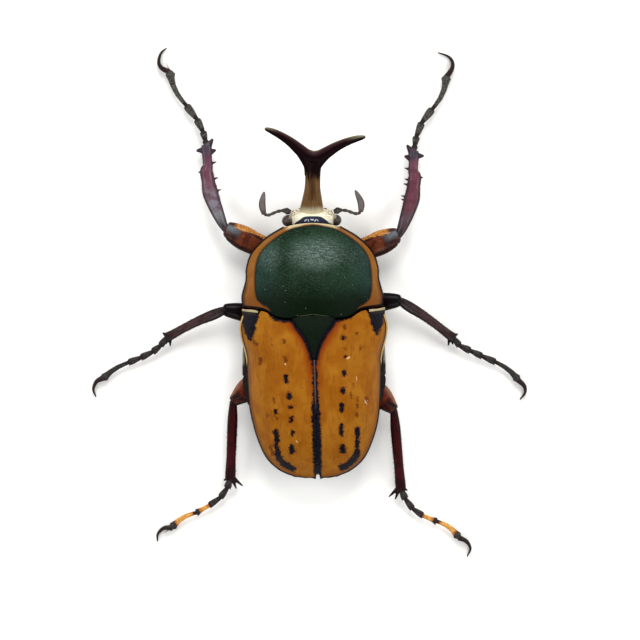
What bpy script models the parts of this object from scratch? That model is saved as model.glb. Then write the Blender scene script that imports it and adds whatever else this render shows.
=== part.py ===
"""A horned flower beetle, life size, spread as a cabinet specimen and resting on its belly and claws.

Metres, +Z up, head towards +Y. The origin is on the flat under the breastplate, at floor level.
"""

import math

import bmesh
import bpy
import numpy as np
from mathutils import Matrix, Vector

MM = 0.001

# Clearance between neighbouring pieces, and the thickness of the wing cases.
GAP = 0.3 * MM
SHELL = 0.7 * MM
UP = Vector((0, 0, 1))


def mm(*rows):
    """Rows of numbers in millimetres, as an array in metres."""
    return np.array(rows, float) * MM


def smooth_through(knots, count):
    """Rows read at even steps from a Catmull-Rom curve through the knots."""
    knots = np.asarray(knots, float)
    padded = np.vstack([2 * knots[0] - knots[1], knots, 2 * knots[-1] - knots[-2]])
    rows = []
    for at in np.linspace(0, len(knots) - 1, count):
        i = min(int(at), len(knots) - 2)
        t = at - i
        a, b, c, d = padded[i : i + 4]
        cubic = (3 * (b - c) + d - a) * t**3
        rows.append(b + ((c - a) * t + (2 * a - 5 * b + 4 * c - d) * t**2 + cubic) / 2)
    return np.array(rows)


def profile(*knots):
    """A smooth function of one length through (position, value) knots in millimetres."""
    dense = smooth_through(mm(*sorted(knots)), 12 * len(knots))
    return lambda at: float(np.interp(at, dense[:, 0], dense[:, 1]))


def blend(edge0, edge1, value):
    """0 before edge0, 1 after edge1, and a smooth rise between them."""
    t = min(max((value - edge0) / (edge1 - edge0), 0), 1)
    return t * t * (3 - 2 * t)


# Outlines and heights of the body, each a function of the distance along or across it.

PRONOTUM_HALF_WIDTH = profile(
    (16.1, 4.2), (15.0, 6.2), (13.4, 8.0), (12.0, 9.0), (10.2, 9.55),
    (8.2, 9.75), (6.2, 10.05), (4.9, 9.95),
)  # fmt: skip
PRONOTUM_HIND_MARGIN = profile(
    (0, 3.6), (2.0, 3.35), (3.6, 3.15), (5.2, 3.4), (6.4, 4.1), (7.4, 4.5), (10.2, 4.9)
)
PRONOTUM_CROWN = profile(
    (3.0, 12.5), (5.5, 12.6), (8.5, 12.2), (11.5, 11.0), (14.0, 9.3), (16.7, 7.0)
)
PRONOTUM_EDGE = profile((3.0, 6.5), (8.0, 6.3), (12.0, 5.9), (16.7, 5.4))
PRONOTUM_FRONT = 16.7 * MM
PRONOTUM_FRONT_DROP = 0.6 * MM
PRONOTUM_SIDE = mm(16.1, 4.9)
PRONOTUM_RIM = 0.45 * MM
PRONOTUM_LIP = 0.75 * MM

ELYTRA_SIDE = mm(
    (10.05, 3.68), (10.45, 2.2), (10.05, 0.0), (9.6, -2.5), (9.5, -6.0), (9.25, -9.8),
    (8.45, -13.5), (7.1, -16.6), (5.2, -18.5), (3.0, -19.5),
)  # fmt: skip
ELYTRA_CROWN = profile(
    (4.5, 12.5), (1.0, 13.3), (-3.0, 13.6), (-8.0, 13.3), (-12.0, 12.3), (-15.0, 10.8),
    (-17.4, 8.7), (-19.0, 6.6), (-19.8, 5.4),
)  # fmt: skip
ELYTRA_EDGE = profile((4.5, 6.6), (0, 6.2), (-5, 5.8), (-12, 5.3), (-19.8, 5.0))
ELYTRA_SEAM = mm(2.8, -19.8)
SEAM_HALF_GAP = 0.15 * MM
MESEPIMERON = mm(8.0, 10.1)
MESEPIMERON_THICKNESS = 0.5 * MM

SCUTELLUM_HALF_WIDTH = profile(
    (3.3, 3.15), (2.0, 2.4), (1.0, 1.65), (0.0, 1.05), (-1.0, 0.6), (-2.0, 0.3), (-2.7, 0.16)
)
SCUTELLUM_ENDS = mm(3.2, -2.6)

BELLY_HALF_WIDTH = profile(
    (4.6, 8.2), (2.5, 9.3), (0.0, 10.0), (-2.0, 10.2), (-6.0, 10.2), (-8.5, 9.7), (-11.0, 8.8),
    (-14.0, 7.6), (-16.5, 6.2), (-18.0, 4.8),
)  # fmt: skip
BELLY_KEEL = profile(
    (4.6, 1.3), (3.0, 0.2), (1.5, -0.6), (-3.0, -0.6), (-4.7, 0.15), (-8, 0.15), (-10, 0.2),
    (-14, 0.5), (-17, 1.3), (-18, 1.7),
)  # fmt: skip
BODY_MIDDLE = Vector((0, -5 * MM, 0))
ELYTRA_SIDE_LINE = smooth_through(ELYTRA_SIDE, 120)


def elytra_half_width(y):
    """Half the width over both wing cases at y. It stays at its last value past the rear edge."""
    return float(np.interp(y, ELYTRA_SIDE_LINE[::-1, 1], ELYTRA_SIDE_LINE[::-1, 0]))


def dome(x, half_width, edge, crown, fullness=2.6, roundness=0.6):
    """Height of a vaulted plate at x, from the edge height at its side to the crown at the middle."""
    reach = min(abs(x) / half_width, 1)
    return edge + (crown - edge) * (1 - reach**fullness) ** roundness


def elytra_height(x, y):
    return dome(x, elytra_half_width(y), ELYTRA_EDGE(y), ELYTRA_CROWN(y))


# Legs. Each pair has one set of proportions, and each leg its own pose, read off the specimen.
# The leans are how far the thigh's middle line lies before the line from hip to knee. The rows of a
# shin are: fraction of its length, distance of its middle line to the outer side, width.

LEG_SHAPE = {
    "front": {
        "femur_widths": (2.3, 3.2, 3.35, 3.5, 2.75),
        "femur_leans": (0, 0, 0, 0.05, 0.1),
        "femur_height": 2.3,
        "shin": (
            (0, 0.1, 0.95), (0.1, 0.4, 1.45), (0.24, 0.7, 1.9), (0.36, 0.9, 2.15),
            (0.47, 1.0, 2.3), (0.6, 0.9, 1.95), (0.71, 0.8, 1.9), (0.77, 0.42, 1.45),
            (0.86, 0.25, 1.4), (0.94, 0.1, 1.5), (1, -0.05, 1.35),
        ),
        "tibia_height": 1.25,
        "tarsus_widths": (0.8, 0.95, 1.0, 1.05, 1.35),
        "last_joint_bow": 0.5,
    },
    "middle": {
        "femur_widths": (1.9, 2.6, 2.8, 2.6, 2.0),
        "femur_leans": (0, 0.2, 0.3, 0.25, 0.1),
        "femur_height": 2.0,
        "shin": (
            (0, 0, 1.1), (0.1, 0, 1.45), (0.22, 0.05, 1.55), (0.4, 0.13, 1.38),
            (0.6, 0.1, 1.27), (0.8, 0, 1.25), (0.92, -0.08, 1.35), (1, -0.05, 1.4),
        ),
        "tibia_height": 1.15,
        "tarsus_widths": (0.9, 0.95, 0.9, 0.9, 1.15),
        "last_joint_bow": 0.3,
    },
    "hind": {
        "femur_widths": (2.4, 3.5, 3.8, 3.3, 2.0),
        "femur_leans": (0, 0.3, 0.35, 0.35, 0.1),
        "femur_height": 2.1,
        "shin": (
            (0, 0, 1.0), (0.1, 0, 1.25), (0.24, 0, 1.47), (0.5, 0, 1.42),
            (0.72, 0, 1.37), (0.9, 0, 1.52), (1, 0, 1.5),
        ),
        "tibia_height": 1.2,
        "tarsus_widths": (1.0, 0.9, 0.85, 1.0, 1.15),
        "last_joint_bow": 0.4,
    },
}  # fmt: skip

# Teeth of the shin: (fraction of its length, side, reach past the edge, slant towards the foot).
SHIN_TEETH = {
    "front": (
        (0.46, "inner", 0.4, 0.1), (0.6, "inner", 0.45, 0.1), (0.78, "inner", 0.5, 0.1),
        (0.91, "inner", 0.55, 0.15), (0.7, "outer", 0.15, 0.3), (0.95, "outer", 0.6, 0.2),
        (0.98, "inner", 0.4, 0.9),
    ),
    "middle": (
        (0.98, "outer", 0.15, 0.5), (0.92, "inner", 0.6, 0.5), (0.97, "inner", 0.1, 0.7),
    ),
    "hind": (
        (0.98, "outer", 0.1, 0.35), (0.96, "inner", 1.0, 1.3), (0.98, "inner", 0.1, 1.5),
    ),
}  # fmt: skip

# Points of a pose: hip, knee and ankle, then the ends of the foot's joints, then the claw's bends.
LEG_POSE = {
    "front_left": {
        "hip": (-5.0, 12.2, 2.8), "knee": (-12.3, 15.8, 3.5), "ankle": (-15.2, 28.0, 1.7),
        "foot": (
            (-15.25, 28.7, 1.5), (-15.6, 30.0, 1.35), (-16.5, 31.8, 1.15),
            (-18.0, 33.8, 1.0), (-20.3, 38.8, 0.85),
        ),
        "claw": ((-20.4, 38.6), (-21.5, 39.2), (-21.85, 40.1), (-21.5, 41.3), (-20.7, 42.0)),
    },
    "front_right": {
        "hip": (5.0, 12.0, 2.8), "knee": (12.1, 14.7, 3.5), "ankle": (14.6, 26.9, 1.7),
        "foot": (
            (14.7, 27.7, 1.5), (14.95, 29.0, 1.35), (15.75, 31.0, 1.15),
            (17.3, 32.95, 1.0), (19.35, 37.8, 0.85),
        ),
        "claw": ((19.45, 37.6), (20.15, 38.7), (20.2, 39.7), (19.5, 40.5), (18.1, 41.0)),
    },
    "middle_left": {
        "hip": (-4.9, 2.6, 2.0), "knee": (-12.8, 4.4, 3.5), "ankle": (-21.2, 0.6, 1.6),
        "foot": (
            (-21.95, -0.6, 1.4), (-23.1, -1.5, 1.25), (-24.8, -2.3, 1.1),
            (-26.6, -3.0, 1.0), (-30.35, -5.4, 0.85),
        ),
        "claw": ((-30.3, -5.2), (-31.2, -5.7), (-31.65, -6.8), (-31.25, -7.9)),
    },
    "middle_right": {
        "hip": (5.1, 4.3, 2.0), "knee": (12.4, 5.5, 3.5), "ankle": (20.1, 0.15, 1.6),
        "foot": (
            (20.85, -1.0, 1.4), (22.4, -1.75, 1.25), (24.1, -2.55, 1.1),
            (26.0, -3.4, 1.0), (29.3, -6.1, 0.85),
        ),
        "claw": ((29.15, -5.95), (30.1, -6.9), (30.15, -7.9), (29.4, -8.85)),
    },
    "hind_left": {
        "hip": (-5.2, -5.0, 2.1), "knee": (-11.6, -8.7, 3.4), "ankle": (-12.15, -19.9, 1.6),
        "foot": (
            (-12.6, -21.1, 1.4), (-13.6, -22.45, 1.25), (-15.25, -23.6, 1.1),
            (-17.1, -24.6, 1.0), (-20.7, -26.8, 0.85),
        ),
        "claw": ((-20.5, -26.75), (-21.7, -26.75), (-22.6, -27.6), (-22.65, -28.7)),
    },
    "hind_right": {
        "hip": (5.2, -5.5, 2.1), "knee": (11.35, -10.1, 3.4), "ankle": (12.28, -21.6, 1.6),
        "foot": (
            (12.9, -22.9, 1.4), (13.95, -24.3, 1.25), (15.45, -25.35, 1.1),
            (17.4, -26.15, 1.0), (20.55, -28.55, 0.85),
        ),
        "claw": ((20.5, -28.5), (21.6, -29.05), (22.15, -30.1), (21.65, -31.25)),
    },
}  # fmt: skip

COXA = {
    "front": {"centre": (3.1, 11.5, 2.35), "radii": (2.3, 1.35, 1.5), "turn": 10},
    "middle": {"centre": (3.5, 2.0, 1.35), "radii": (1.7, 1.3, 1.1), "turn": 20},
    "hind": {"centre": (4.6, -4.4, 1.35), "radii": (4.0, 1.3, 1.15), "turn": -8},
}

# Head, horn and feelers.

HEAD_RINGS = (
    (15.9, 2.5, 3.5, 5.5),
    (16.6, 2.95, 3.1, 5.9),
    (17.1, 3.2, 2.95, 6.3),
    (17.6, 3.15, 3.0, 6.7),
    (18.0, 2.85, 3.3, 6.8),
    (18.35, 2.2, 4.0, 6.6),
)
HORN_STEM = (
    (-0.1, 18.8, 5.7, 3.4, 2.0),
    (-0.08, 19.4, 5.8, 3.1, 2.0),
    (-0.05, 20.4, 6.7, 2.65, 1.95),
    (0.0, 22.0, 8.0, 2.15, 1.75),
    (0.05, 24.0, 9.2, 2.15, 1.5),
    (0.08, 25.2, 9.85, 2.5, 1.3),
    (0.1, 26.3, 10.3, 2.5, 1.1),
)
FORK_CENTRE = mm(0.1, 26.2, 10.3)
FORK_TURN = math.radians(-5.3)
HORN_PRONG = (
    (-0.3, -0.3, -0.1, 1.6, 1.1),
    (0.9, 0.15, 0.05, 1.95, 1.2),
    (2.0, 0.8, 0.28, 1.8, 1.15),
    (3.3, 1.7, 0.55, 1.45, 1.1),
    (4.7, 2.47, 0.8, 1.2, 1.0),
    (6.0, 3.0, 1.05, 0.98, 0.85),
    (6.8, 3.25, 1.2, 0.7, 0.6),
    (7.25, 3.37, 1.3, 0.35, 0.3),
)
EYE_CENTRE = mm(3.55, 17.15, 4.6)
EYE_RADII = mm(0.95, 0.75, 0.95)
FEELER = {
    "left": ((-3.5, 18.4, 5.0), (-3.8, 18.5, 5.0), (-4.5, 18.5, 5.0), (-5.2, 18.35, 4.95),
             (-6.0, 18.0, 4.9), (-6.5, 17.9, 4.85), (-6.95, 18.1, 4.8)),
    "right": ((3.4, 18.4, 5.0), (3.7, 18.5, 5.0), (4.3, 18.5, 5.0), (5.0, 18.4, 4.95),
              (5.8, 18.1, 4.9), (6.4, 18.0, 4.85), (6.85, 18.25, 4.8)),
}  # fmt: skip
CLUB = {
    "left": ((-6.95, 18.0), (-7.05, 19.5), (-6.9, 21.2)),
    "right": ((6.9, 18.2), (6.75, 19.6), (6.15, 21.3)),
}
CLUB_WIDTH = 0.95
CLUB_LEAVES = 3


# Mesh makers

def material(name, colour, roughness, metallic=0.0):
    made = bpy.data.materials.new(name)
    made.use_nodes = True
    shader = made.node_tree.nodes["Principled BSDF"]
    shader.inputs["Base Color"].default_value = (*colour, 1)
    shader.inputs["Roughness"].default_value = roughness
    shader.inputs["Metallic"].default_value = metallic
    return made


def add_object(name, mesh, finish, group):
    """Turns a closed bmesh into an object of the collection, with its faces pointing outwards."""
    bmesh.ops.recalc_face_normals(mesh, faces=mesh.faces)
    if mesh.calc_volume(signed=True) < 0:
        bmesh.ops.reverse_faces(mesh, faces=mesh.faces)
    data = bpy.data.meshes.new(name)
    mesh.to_mesh(data)
    mesh.free()
    if finish:
        data.materials.append(finish)
    data.shade_smooth()
    made = bpy.data.objects.new(name, data)
    group.objects.link(made)
    return made


def slab(name, across, along, place, finish, group):
    """A closed block from a grid, drawn down once, with place(u, s, t) as the map of its corners.

    u runs from 0 to 1 across, s from 0 to 1 along, and t is 1 on the outer skin and 0 on the inner.
    """
    mesh = bmesh.new()
    bmesh.ops.create_grid(mesh, x_segments=across, y_segments=along, size=0.5)
    bmesh.ops.translate(mesh, verts=mesh.verts, vec=(0.5, 0.5, 1))
    drawn = bmesh.ops.extrude_face_region(mesh, geom=mesh.faces[:], use_keep_orig=True)
    lower = [item for item in drawn["geom"] if isinstance(item, bmesh.types.BMVert)]
    bmesh.ops.translate(mesh, verts=lower, vec=(0, 0, -1))
    for vert in mesh.verts:
        vert.co = place(*vert.co)
    return add_object(name, mesh, finish, group)


def shell_point(surface, u, s, t, thickness):
    """The point of a surface of the back, moved inwards along its normal where t is below 1."""
    step = 0.02
    u0, u1 = max(u - step, 0), min(u + step, 1)
    s0, s1 = max(s - step, 0), min(s + step, 1)
    across = Vector(surface(u1, s)) - Vector(surface(u0, s))
    along = Vector(surface(u, s1)) - Vector(surface(u, s0))
    point = Vector(surface(u, s))
    normal = across.cross(along).normalized()
    if normal.dot(point - BODY_MIDDLE) < 0:
        normal = -normal
    return point - normal * thickness * (1 - t)


def loft(name, rings, finish, group):
    """A closed skin through rings that hold the same number of points."""
    mesh = bmesh.new()
    loops = [[mesh.verts.new(point) for point in ring] for ring in rings]
    for near, far in zip(loops, loops[1:]):
        for i in range(len(near)):
            j = (i + 1) % len(near)
            mesh.faces.new((near[i], near[j], far[j], far[i]))
    mesh.faces.new(loops[0])
    mesh.faces.new(loops[-1])
    return add_object(name, mesh, finish, group)


def limb(name, stations, sides, finish, group, grow=0.0, floor=None):
    """A tube of oval sections along stations of (x, y, z, width, height), in metres.

    Each section stands square to the way the limb runs. A floor flattens what would pass below it.
    """
    stations = np.asarray(stations, float)
    rings = []
    for i, (x, y, z, width, height) in enumerate(stations):
        before, after = stations[max(i - 1, 0), :3], stations[min(i + 1, len(stations) - 1), :3]
        along = Vector(after - before).normalized()
        side = along.cross(UP).normalized()
        up = side.cross(along)
        centre = Vector((x, y, z))
        if i in (0, len(stations) - 1):
            centre += along * grow * (1 if i else -1)
        ring = []
        for turn in range(sides):
            angle = 2 * math.pi * (turn + 0.5) / sides
            point = centre + side * math.cos(angle) * (width / 2 + grow)
            point += up * math.sin(angle) * (height / 2 + grow)
            if floor is not None:
                point.z = max(point.z, floor)
            ring.append(point)
        rings.append(ring)
    return loft(name, rings, finish, group)


def ball(name, centre, radii, finish, group, grow=0.0, turns=12, steps=8, turn=0.0):
    """An ellipsoid, turned by so many degrees about the vertical."""
    mesh = bmesh.new()
    bmesh.ops.create_uvsphere(mesh, u_segments=turns, v_segments=steps, radius=1)
    size = Matrix.Diagonal((*(radius + grow for radius in radii), 1))
    spin = Matrix.Rotation(math.radians(turn), 4, "Z")
    bmesh.ops.transform(mesh, matrix=Matrix.Translation(Vector(centre)) @ spin @ size, verts=mesh.verts)
    return add_object(name, mesh, finish, group)


def spike(root, tip, radius, group, sides=6):
    """A tapered spine from root to tip, a little blunt at its end."""
    root, tip = Vector(root), Vector(tip)
    reach = tip - root
    mesh = bmesh.new()
    bmesh.ops.create_cone(
        mesh, cap_ends=True, segments=sides, radius1=radius, radius2=radius * 0.15, depth=reach.length
    )
    turn = reach.to_track_quat("Z", "Y").to_matrix().to_4x4()
    bmesh.ops.transform(mesh, matrix=Matrix.Translation((root + tip) / 2) @ turn, verts=mesh.verts)
    return add_object("spike", mesh, None, group)


def keep_largest(data):
    """Deletes every loose shell of the mesh but the one with the most faces."""
    mesh = bmesh.new()
    mesh.from_mesh(data)
    left = set(mesh.faces)
    shells = []
    while left:
        shell = set()
        front = [left.pop()]
        while front:
            face = front.pop()
            shell.add(face)
            for edge in face.edges:
                reached = [other for other in edge.link_faces if other in left]
                left.difference_update(reached)
                front.extend(reached)
        shells.append(shell)
    shells.sort(key=len)
    for shell in shells[:-1]:
        bmesh.ops.delete(mesh, geom=list(shell), context="FACES")
    mesh.to_mesh(data)
    mesh.free()


def combine(target, pieces, operation, solver="EXACT"):
    """Joins the pieces to the target, or takes them away from it, and leaves one closed surface."""
    group = bpy.data.collections.new(target.name + "_pieces")
    bpy.context.scene.collection.children.link(group)
    for piece in pieces:
        for owner in list(piece.users_collection):
            owner.objects.unlink(piece)
        group.objects.link(piece)
    change = target.modifiers.new(operation.lower(), "BOOLEAN")
    change.operation = operation
    change.operand_type = "COLLECTION"
    change.solver = solver
    change.collection = group
    graph = bpy.context.evaluated_depsgraph_get()
    changed = bpy.data.meshes.new_from_object(target.evaluated_get(graph))
    target.modifiers.clear()
    target.data = changed
    for piece in pieces:
        bpy.data.objects.remove(piece)
    bpy.data.collections.remove(group)
    keep_largest(changed)


# Thorax, wing cases and belly

def pronotum_surface(u, s):
    """Top of the fore shield, u across from the left side and s from the front margin to the hind one."""
    side_y = PRONOTUM_SIDE[0] + (PRONOTUM_SIDE[1] - PRONOTUM_SIDE[0]) * s
    half_width = PRONOTUM_HALF_WIDTH(side_y)
    across = math.sin((2 * u - 1) * math.pi / 2)
    x = across * half_width
    front = PRONOTUM_FRONT - PRONOTUM_FRONT_DROP * across**2
    y = front + (PRONOTUM_HIND_MARGIN(abs(x)) - front) * s
    return x, y, dome(x, half_width, PRONOTUM_EDGE(y), PRONOTUM_CROWN(y), 2.2, 0.7)


def make_pronotum(finish, group):
    """The fore shield, a solid vault with a thin lip over the back of the head."""

    def place(u, s, t):
        x, y, z = pronotum_surface(u, s)
        under = PRONOTUM_EDGE(y) - PRONOTUM_RIM
        lip = min(PRONOTUM_LIP, (z - under) * 0.9)
        under += (z - lip - under) * blend(0.2, 0.0, s)
        return x, y, under + (z - under) * t

    return slab("pronotum", 16, 9, place, finish, group)


def make_prosternum(finish, group):
    """The underside of the fore thorax, deepest along the middle and rising to the sides."""
    inset = 0.7 * MM
    front, back = 15.5 * MM, 5.0 * MM
    keel = profile((5.0, 1.4), (8.0, 1.0), (12.0, 1.1), (14.0, 2.0), (15.5, 3.4))
    least = 0.6 * MM

    def place(u, s, t):
        y = front + (back - front) * s
        across = math.sin((2 * u - 1) * math.pi / 2)
        top = PRONOTUM_EDGE(y) - PRONOTUM_RIM - GAP
        drop = (top - least - keel(y)) * (1 - abs(across) ** 1.7)
        x = across * (PRONOTUM_HALF_WIDTH(y) - inset)
        return x, y, top - (least + drop) * (1 - t)

    return slab("prosternum", 12, 6, place, finish, group)


def elytron_base(x):
    """Front edge of the wing cases at x, behind the fore shield or, at the sides, the cream plate."""
    plate = (MESEPIMERON_THICKNESS + GAP) * blend(7.4 * MM, 8.0 * MM, x)
    return PRONOTUM_HIND_MARGIN(x) - 1.3 * GAP - plate


def elytron_surface(u, s, side):
    """Top of one wing case, u from the seam to the outer side and s from the base to the rear tip."""
    at = s * (len(ELYTRA_SIDE_LINE) - 1)
    low = min(int(at), len(ELYTRA_SIDE_LINE) - 2)
    outer = ELYTRA_SIDE_LINE[low] + (ELYTRA_SIDE_LINE[low + 1] - ELYTRA_SIDE_LINE[low]) * (at - low)
    seam_y = ELYTRA_SEAM[0] + (ELYTRA_SEAM[1] - ELYTRA_SEAM[0]) * s
    seam_x = SEAM_HALF_GAP
    if seam_y > SCUTELLUM_ENDS[1] - GAP:
        seam_x = SCUTELLUM_HALF_WIDTH(seam_y) + 1.35 * GAP
    spread = math.sin(u * math.pi / 2)
    x = seam_x + (outer[0] - seam_x) * spread
    y = seam_y + (outer[1] - seam_y) * spread
    first = ELYTRA_SEAM[0] + (ELYTRA_SIDE[0][1] - ELYTRA_SEAM[0]) * spread
    y += (elytron_base(x) - first) * (1 - s) ** 6
    return side * x, y, elytra_height(x, y)


def make_elytron(side, word, finish, group):
    def place(u, s, t):
        return shell_point(lambda a, b: elytron_surface(a, b, side), u, s, t, SHELL)

    return slab("elytron_" + word, 9, 18, place, finish, group)


def make_scutellum(finish, group):
    def surface(u, s):
        across = 2 * u - 1
        y = SCUTELLUM_ENDS[0] + (SCUTELLUM_ENDS[1] - SCUTELLUM_ENDS[0]) * s
        y -= 0.35 * MM * across**2 * (1 - s) ** 3
        x = across * SCUTELLUM_HALF_WIDTH(y)
        return x, y, elytra_height(x, y)

    def place(u, s, t):
        return shell_point(surface, u, s, t, SHELL)

    return slab("scutellum", 6, 8, place, finish, group)


def make_mesepimeron(side, word, finish, group):
    """The cream plate that stands at each shoulder, between the fore shield and the wing case."""
    foot = 6.1 * MM
    sunk = 0.1 * MM

    def place(u, s, t):
        x = MESEPIMERON[0] + (MESEPIMERON[1] - MESEPIMERON[0]) * u
        y = PRONOTUM_HIND_MARGIN(x) - GAP - MESEPIMERON_THICKNESS * s
        top = min(elytra_height(x, y), 10 * MM) - sunk
        return side * x, y, foot + (max(top, foot + 0.5 * MM) - foot) * t

    return slab("mesepimeron_" + word, 5, 1, place, finish, group)


def trunk_ring(y, tuck=0.0, roof=True, low_sides=6, top_sides=4):
    """A section of the hind body: a keel with a flat, a ledge under each wing case, and the back."""
    half_width = BELLY_HALF_WIDTH(y) - tuck
    under_pronotum = PRONOTUM_EDGE(y) - PRONOTUM_RIM - GAP
    ledge = ELYTRA_EDGE(y) - GAP if roof else min(ELYTRA_EDGE(y), under_pronotum) - GAP
    keel = BELLY_KEEL(y) + tuck
    step = 0.5 * MM
    clear = SHELL + GAP + 0.1 * MM
    fall = (ELYTRA_CROWN(y + step) - ELYTRA_CROWN(y - step)) / (2 * step)
    taper = (elytra_half_width(y + step) - elytra_half_width(y - step)) / (2 * step)
    back_width = min(elytra_half_width(y) - clear * math.hypot(1, taper), half_width)
    back = ELYTRA_CROWN(y) - clear * math.hypot(1, fall) if roof else ledge + 0.2 * MM
    right = []
    for i in range(1, low_sides + 1):
        reach = math.sin(i / low_sides * math.pi / 2)
        z = keel + (ledge - 0.6 * MM - keel) * reach**1.9
        right.append((half_width * reach, max(z, 0)))
    right.append((half_width, ledge))
    for i in range(top_sides):
        x = back_width * math.cos((i + 0.01) / top_sides * math.pi / 2)
        right.append((x, dome(x, back_width, ledge, back)))
    left = [(-x, z) for x, z in reversed(right)]
    outline = [(0, max(keel, 0)), *right, (0, back), *left]
    return [(x, y, z) for x, z in outline]


def make_metathorax(finish, group):
    """The breastplate of the hind thorax, with the blunt process between the middle legs."""
    neck = [trunk_ring(y, roof=False) for y in mm(4.6, 3.8, 2.85)]
    chest = [trunk_ring(y) for y in mm(2.7, 1.2, -1.5, -3.0, -4.7)]
    made = loft("metathorax", neck + chest, finish, group)
    process = ball("process", mm(0, 3.5, 1.3), mm(1.2, 1.15, 1.0), None, group, turns=10, steps=6)
    combine(made, [process], "UNION")
    return made


def make_abdomen(finish, group):
    """Six belly plates, each with a small step where it overlaps the next."""
    start, end = mm(-5.0, -17.6)
    plates = 6
    step = 0.2 * MM
    length = (end - start) / plates
    rings = []
    for plate in range(plates):
        front = start + plate * length
        rings.append(trunk_ring(front, step))
        rings.append(trunk_ring(front + length * 0.2))
        rings.append(trunk_ring(front + length * 0.95))
    rings.append(trunk_ring(end, step))
    return loft("abdomen", rings, finish, group)


def make_pygidium(finish, group):
    """The last plate, a blunt shield that closes the body below the tips of the wing cases."""
    rings = []
    for y, half_width, low, high in mm(
        (-17.9, 4.3, 2.0, 4.9), (-18.4, 4.0, 2.3, 4.7), (-18.9, 3.2, 2.8, 4.4), (-19.2, 2.0, 3.3, 4.0)
    ):
        centre, half_height = (low + high) / 2, (high - low) / 2
        rings.append(oval_ring(y, half_width, centre, half_height, 14, 2.6))
    return loft("pygidium", rings, finish, group)


def oval_ring(y, half_width, centre, half_height, sides, squareness):
    """A superellipse across the body at y."""
    ring = []
    for turn in range(sides):
        angle = 2 * math.pi * turn / sides
        cosine, sine = math.cos(angle), math.sin(angle)
        x = math.copysign(abs(cosine) ** (2 / squareness), cosine) * half_width
        z = math.copysign(abs(sine) ** (2 / squareness), sine) * half_height
        ring.append((x, y, centre + z))
    return ring


# Head

def eye(word, side, finish, group, grow=0.0):
    centre = (side * EYE_CENTRE[0], EYE_CENTRE[1], EYE_CENTRE[2])
    return ball("eye_" + word, centre, EYE_RADII, finish, group, grow, turns=12, steps=8)


def make_head(finish, group):
    """The head capsule with its squared face, a tooth at each front corner and a ridge over each eye."""
    rings = []
    for y, half_width, low, high in mm(*HEAD_RINGS):
        rings.append(oval_ring(y, half_width, (low + high) / 2, (high - low) / 2, 20, 3.2))
    made = loft("head", rings, finish, group)
    knobs = []
    for side in (-1, 1):
        knobs.append(spike(mm(side * 2.0, 17.6, 6.0), mm(side * 2.5, 18.6, 6.2), 0.55 * MM, group))
        ridge = mm((side * 2.6, 17.6, 5.6, 0.9, 0.7), (side * 3.75, 17.65, 5.7, 0.5, 0.5))
        knobs.append(limb("ridge", ridge, 6, None, group))
    combine(made, knobs, "UNION")
    for side in (-1, 1):
        combine(made, [eye("socket", side, None, group, GAP)], "DIFFERENCE")
    return made


def make_horn(finish, group):
    """The forked horn: a flattened stem that rises forwards and opens into two pointed prongs."""
    made = limb("horn", mm(*HORN_STEM), 12, finish, group)
    prongs = []
    for side in (-1, 1):
        stations = []
        for along, ahead, rise, width, height in mm(*HORN_PRONG):
            x = side * along
            turned_x = x * math.cos(FORK_TURN) - ahead * math.sin(FORK_TURN)
            turned_y = x * math.sin(FORK_TURN) + ahead * math.cos(FORK_TURN)
            place = FORK_CENTRE + (turned_x, turned_y, rise)
            stations.append((*place, width, height))
        prongs.append(limb("prong", stations, 10, None, group))
    combine(made, prongs, "UNION")
    return made


def make_feeler(word, finish, group):
    """A feeler: its thick first joint, a stalk of small beads, and a club of three long leaves."""
    widths = (0.7, 1.0, 0.5, 0.6, 0.55, 0.6, 0.5)
    stations = [(*point, width, width * 0.9) for point, width in zip(FEELER[word], widths)]
    made = limb("antenna_" + word, mm(*stations), 8, finish, group)
    leaves = []
    for leaf in range(CLUB_LEAVES):
        z = 4.75 + 0.34 * (leaf - 1)
        path = smooth_through(CLUB[word], 5)
        spans = (0.45, 0.85, 1.0, 0.85, 0.35)
        stations = [(x, y, z, CLUB_WIDTH * span, 0.5 * span + 0.1) for (x, y), span in zip(path, spans)]
        leaves.append(limb("leaf", mm(*stations), 8, None, group))
    combine(made, leaves, "UNION")
    return made


def make_mouthparts(finish, group):
    """The chin plate under the head, with a short jointed palp on each side."""
    made = ball("mouthparts", mm(0, 17.0, 2.15), mm(1.6, 1.2, 0.5), finish, group, turns=12, steps=6)
    palps = []
    for side in (-1, 1):
        path = mm(
            (side * 1.0, 17.2, 2.0, 0.5, 0.5), (side * 1.8, 17.7, 2.0, 0.5, 0.5),
            (side * 2.0, 18.3, 2.1, 0.6, 0.6), (side * 1.7, 18.8, 2.3, 0.4, 0.4),
        )  # fmt: skip
        palps.append(limb("palp", path, 6, None, group))
    combine(made, palps, "UNION")
    return made


# Legs

def coxa(leg, word, side, finish, group, grow=0.0):
    shape = COXA[leg]
    centre = mm(*shape["centre"]) * (side, 1, 1)
    name = "coxa_" + leg + "_" + word
    return ball(name, centre, mm(*shape["radii"]), finish, group, grow, 12, 6, side * shape["turn"])


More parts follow.
